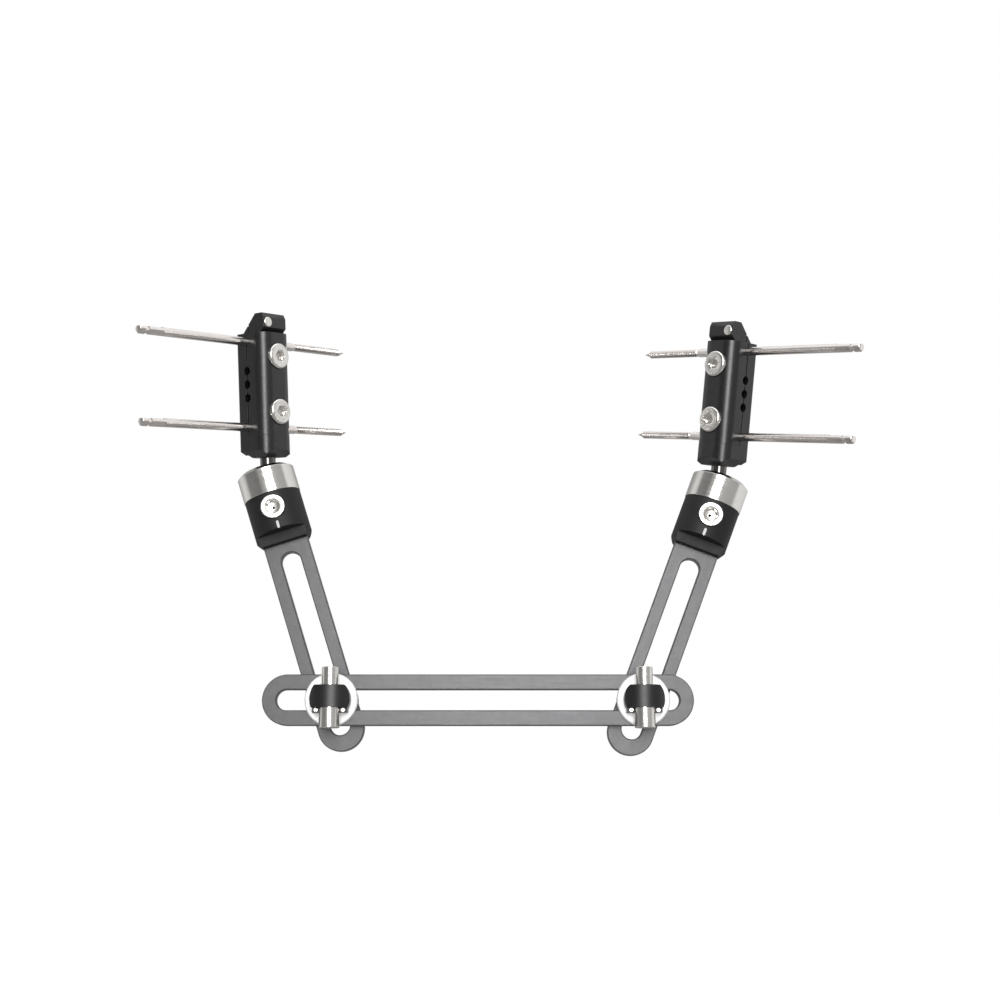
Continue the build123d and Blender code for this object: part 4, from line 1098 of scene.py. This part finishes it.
def floor_material(white, lift):
    """A white sweep that keeps soft shadows and meets the white background."""
    material = bpy.data.materials.new("floor")
    material.use_nodes = True
    tree = material.node_tree
    shader = tree.nodes["Principled BSDF"]
    shader.inputs["Base Color"].default_value = (white, white, white, 1)
    shader.inputs["Roughness"].default_value = 0.9
    shader.inputs["Specular IOR Level"].default_value = 0.1
    glow = tree.nodes.new("ShaderNodeEmission")
    gain = tree.nodes.new("ShaderNodeMath")
    gain.operation = "MULTIPLY"
    gain.inputs[1].default_value = lift
    tree.links.new(seen_directly(tree), gain.inputs[0])
    tree.links.new(gain.outputs["Value"], glow.inputs["Strength"])
    both = tree.nodes.new("ShaderNodeAddShader")
    tree.links.new(shader.outputs["BSDF"], both.inputs[0])
    tree.links.new(glow.outputs["Emission"], both.inputs[1])
    tree.links.new(both.outputs["Shader"], tree.nodes["Material Output"].inputs["Surface"])
    return material


def reflector_material(name, greys):
    """Cards round the studio: each grey stands at its azimuth round Z."""
    ahead = 0.25
    material = bpy.data.materials.new(name)
    material.use_nodes = True
    tree = material.node_tree
    tree.nodes.remove(tree.nodes["Principled BSDF"])
    around = tree.nodes.new("ShaderNodeTexGradient")
    around.gradient_type = "RADIAL"
    tree.links.new(tree.nodes.new("ShaderNodeTexCoord").outputs["Object"], around.inputs["Vector"])
    cards = tree.nodes.new("ShaderNodeValToRGB")
    while len(cards.color_ramp.elements) < len(greys):
        cards.color_ramp.elements.new(1.0)
    for element, (azimuth, grey) in zip(cards.color_ramp.elements, greys):
        element.position = azimuth / 360 + ahead
        element.color = (grey, grey, grey, 1)
    tree.links.new(around.outputs["Fac"], cards.inputs["Fac"])
    glow = tree.nodes.new("ShaderNodeEmission")
    tree.links.new(cards.outputs["Color"], glow.inputs["Color"])
    tree.links.new(glow.outputs["Emission"], tree.nodes["Material Output"].inputs["Surface"])
    return material


def only_in_reflections(piece):
    """Shows a piece to gloss alone."""
    piece.visible_camera = False
    piece.visible_diffuse = False
    piece.visible_transmission = False
    piece.visible_volume_scatter = False
    piece.visible_shadow = False


# Azimuth in degrees from straight ahead of the object towards its right, and the card's grey there
CARDS = ((-90, 0.6), (-80, 0.26), (-36, 0.2), (-27, 0.4), (-14, 0.34), (16, 0.34), (26, 0.5), (72, 0.45),
         (84, 0.95), (130, 0.8), (165, 0.4), (215, 0.4), (250, 0.85), (268, 0.7))
DARK_CARD = ((-90, 0.38), (270, 0.38))


def add_lamp(name, width, height, power, place, towards):
    """Adds a rectangular lamp that the camera doesn't see."""
    lamp = bpy.data.lights.new(name, "AREA")
    lamp.shape = "RECTANGLE"
    lamp.size = width
    lamp.size_y = height
    lamp.energy = power
    holder = bpy.data.objects.new(name, lamp)
    holder.location = place
    holder.rotation_euler = (Vector(towards) - Vector(place)).to_track_quat("-Z", "Y").to_euler()
    holder.visible_camera = False
    bpy.context.scene.collection.objects.link(holder)
    return holder


class FIXATOR_OT_stage(bpy.types.Operator):
    """Sets the floor, the lamps, the cards, the world and the camera"""

    bl_idname = "fixator.stage"
    bl_label = "Stage"

    def execute(self, context):
        settings = context.scene.fixator_stage
        scene = context.scene
        camera = bpy.data.objects.new("camera", bpy.data.cameras.new("camera"))
        scene.collection.objects.link(camera)
        look_along(camera, settings)
        scene.camera = camera
        scene.view_settings.view_transform = "Standard"
        scene.world = make_world(settings.room)

        bm = bmesh.new()
        bmesh.ops.create_grid(bm, x_segments=1, y_segments=1, size=settings.floor_size / 2)
        bmesh.ops.translate(bm, verts=bm.verts, vec=(0, 0, -settings.floor_depth))
        stage_object("floor", bm, floor_material(settings.floor_white, settings.floor_glow))

        drum = settings.card_radius
        bm = bmesh.new()
        bmesh.ops.create_cone(bm, cap_ends=False, segments=96, radius1=drum, radius2=drum, depth=2 * drum)
        only_in_reflections(stage_object("cards", bm, reflector_material("cards", CARDS)))
        bm = bmesh.new()
        bmesh.ops.create_circle(bm, cap_ends=True, segments=96, radius=drum)
        bmesh.ops.translate(bm, verts=bm.verts, vec=(0, 0, settings.card_rise - settings.floor_depth))
        only_in_reflections(stage_object("dark_card", bm, reflector_material("dark_card", DARK_CARD)))

        low, high = (Vector(corner) for corner in CAD_BOX)
        middle = (low + high) / 2
        ahead = Vector((settings.strip_across, -settings.strip_distance, settings.strip_rise))
        strip = add_lamp("strip", settings.strip_width, settings.strip_height, settings.strip_strength,
                         ahead, middle)
        strip.visible_diffuse = False
        fill = add_lamp("fill", settings.strip_height, settings.strip_height, settings.fill_strength,
                        ahead, middle)
        fill.visible_glossy = False
        side = settings.top_size
        add_lamp("top", side, side, settings.top_strength, settings.top_place, middle)
        return {"FINISHED"}


class FIXATOR_PT_panel(bpy.types.Panel):
    """Lists the fixator's settings and the steps that finish it"""

    bl_idname = "FIXATOR_PT_panel"
    bl_label = "Fixator"
    bl_space_type = "VIEW_3D"
    bl_region_type = "UI"
    bl_category = "Fixator"

    def draw(self, context):
        for name in SETTINGS:
            box = self.layout.box()
            group = getattr(context.scene, name)
            for field in group.bl_rna.properties.keys():
                if field not in ("rna_type", "name"):
                    box.prop(group, field)
        for operator in OPERATORS:
            self.layout.operator(operator.bl_idname)


SETTINGS = {
    "fixator_finish": FinishSettings,
    "fixator_joint": JointSettings,
    "fixator_cam": CamSettings,
    "fixator_clamp_screw": ClampScrewSettings,
    "fixator_bone_screw": BoneScrewSettings,
    "fixator_stage": StageSettings,
}
OPERATORS = (
    FIXATOR_OT_stage, FIXATOR_OT_bar_and_arms, FIXATOR_OT_link_clamps, FIXATOR_OT_head_screws,
    FIXATOR_OT_link_cams, FIXATOR_OT_ball_joints, FIXATOR_OT_lock_rings, FIXATOR_OT_ball_stems,
    FIXATOR_OT_joint_cams, FIXATOR_OT_index_marks, FIXATOR_OT_pin_clamps, FIXATOR_OT_lug_pins,
    FIXATOR_OT_clamp_screws, FIXATOR_OT_bone_screws,
)


def register():
    for cls in (*SETTINGS.values(), *OPERATORS, FIXATOR_PT_panel):
        bpy.utils.register_class(cls)
    for name, cls in SETTINGS.items():
        setattr(bpy.types.Scene, name, PointerProperty(type=cls))


def unregister():
    for name in SETTINGS:
        delattr(bpy.types.Scene, name)
    for cls in (FIXATOR_PT_panel, *reversed(OPERATORS), *reversed(SETTINGS.values())):
        bpy.utils.unregister_class(cls)


def main():
    register()
    bpy.ops.fixator.stage()
    bpy.ops.fixator.bar_and_arms()
    bpy.ops.fixator.link_clamps()
    bpy.ops.fixator.head_screws()
    bpy.ops.fixator.link_cams()
    bpy.ops.fixator.ball_joints()
    bpy.ops.fixator.lock_rings()
    bpy.ops.fixator.ball_stems()
    bpy.ops.fixator.joint_cams()
    bpy.ops.fixator.index_marks()
    bpy.ops.fixator.pin_clamps()
    bpy.ops.fixator.lug_pins()
    bpy.ops.fixator.clamp_screws()
    bpy.ops.fixator.bone_screws()


if __name__ == "__main__":
    main()
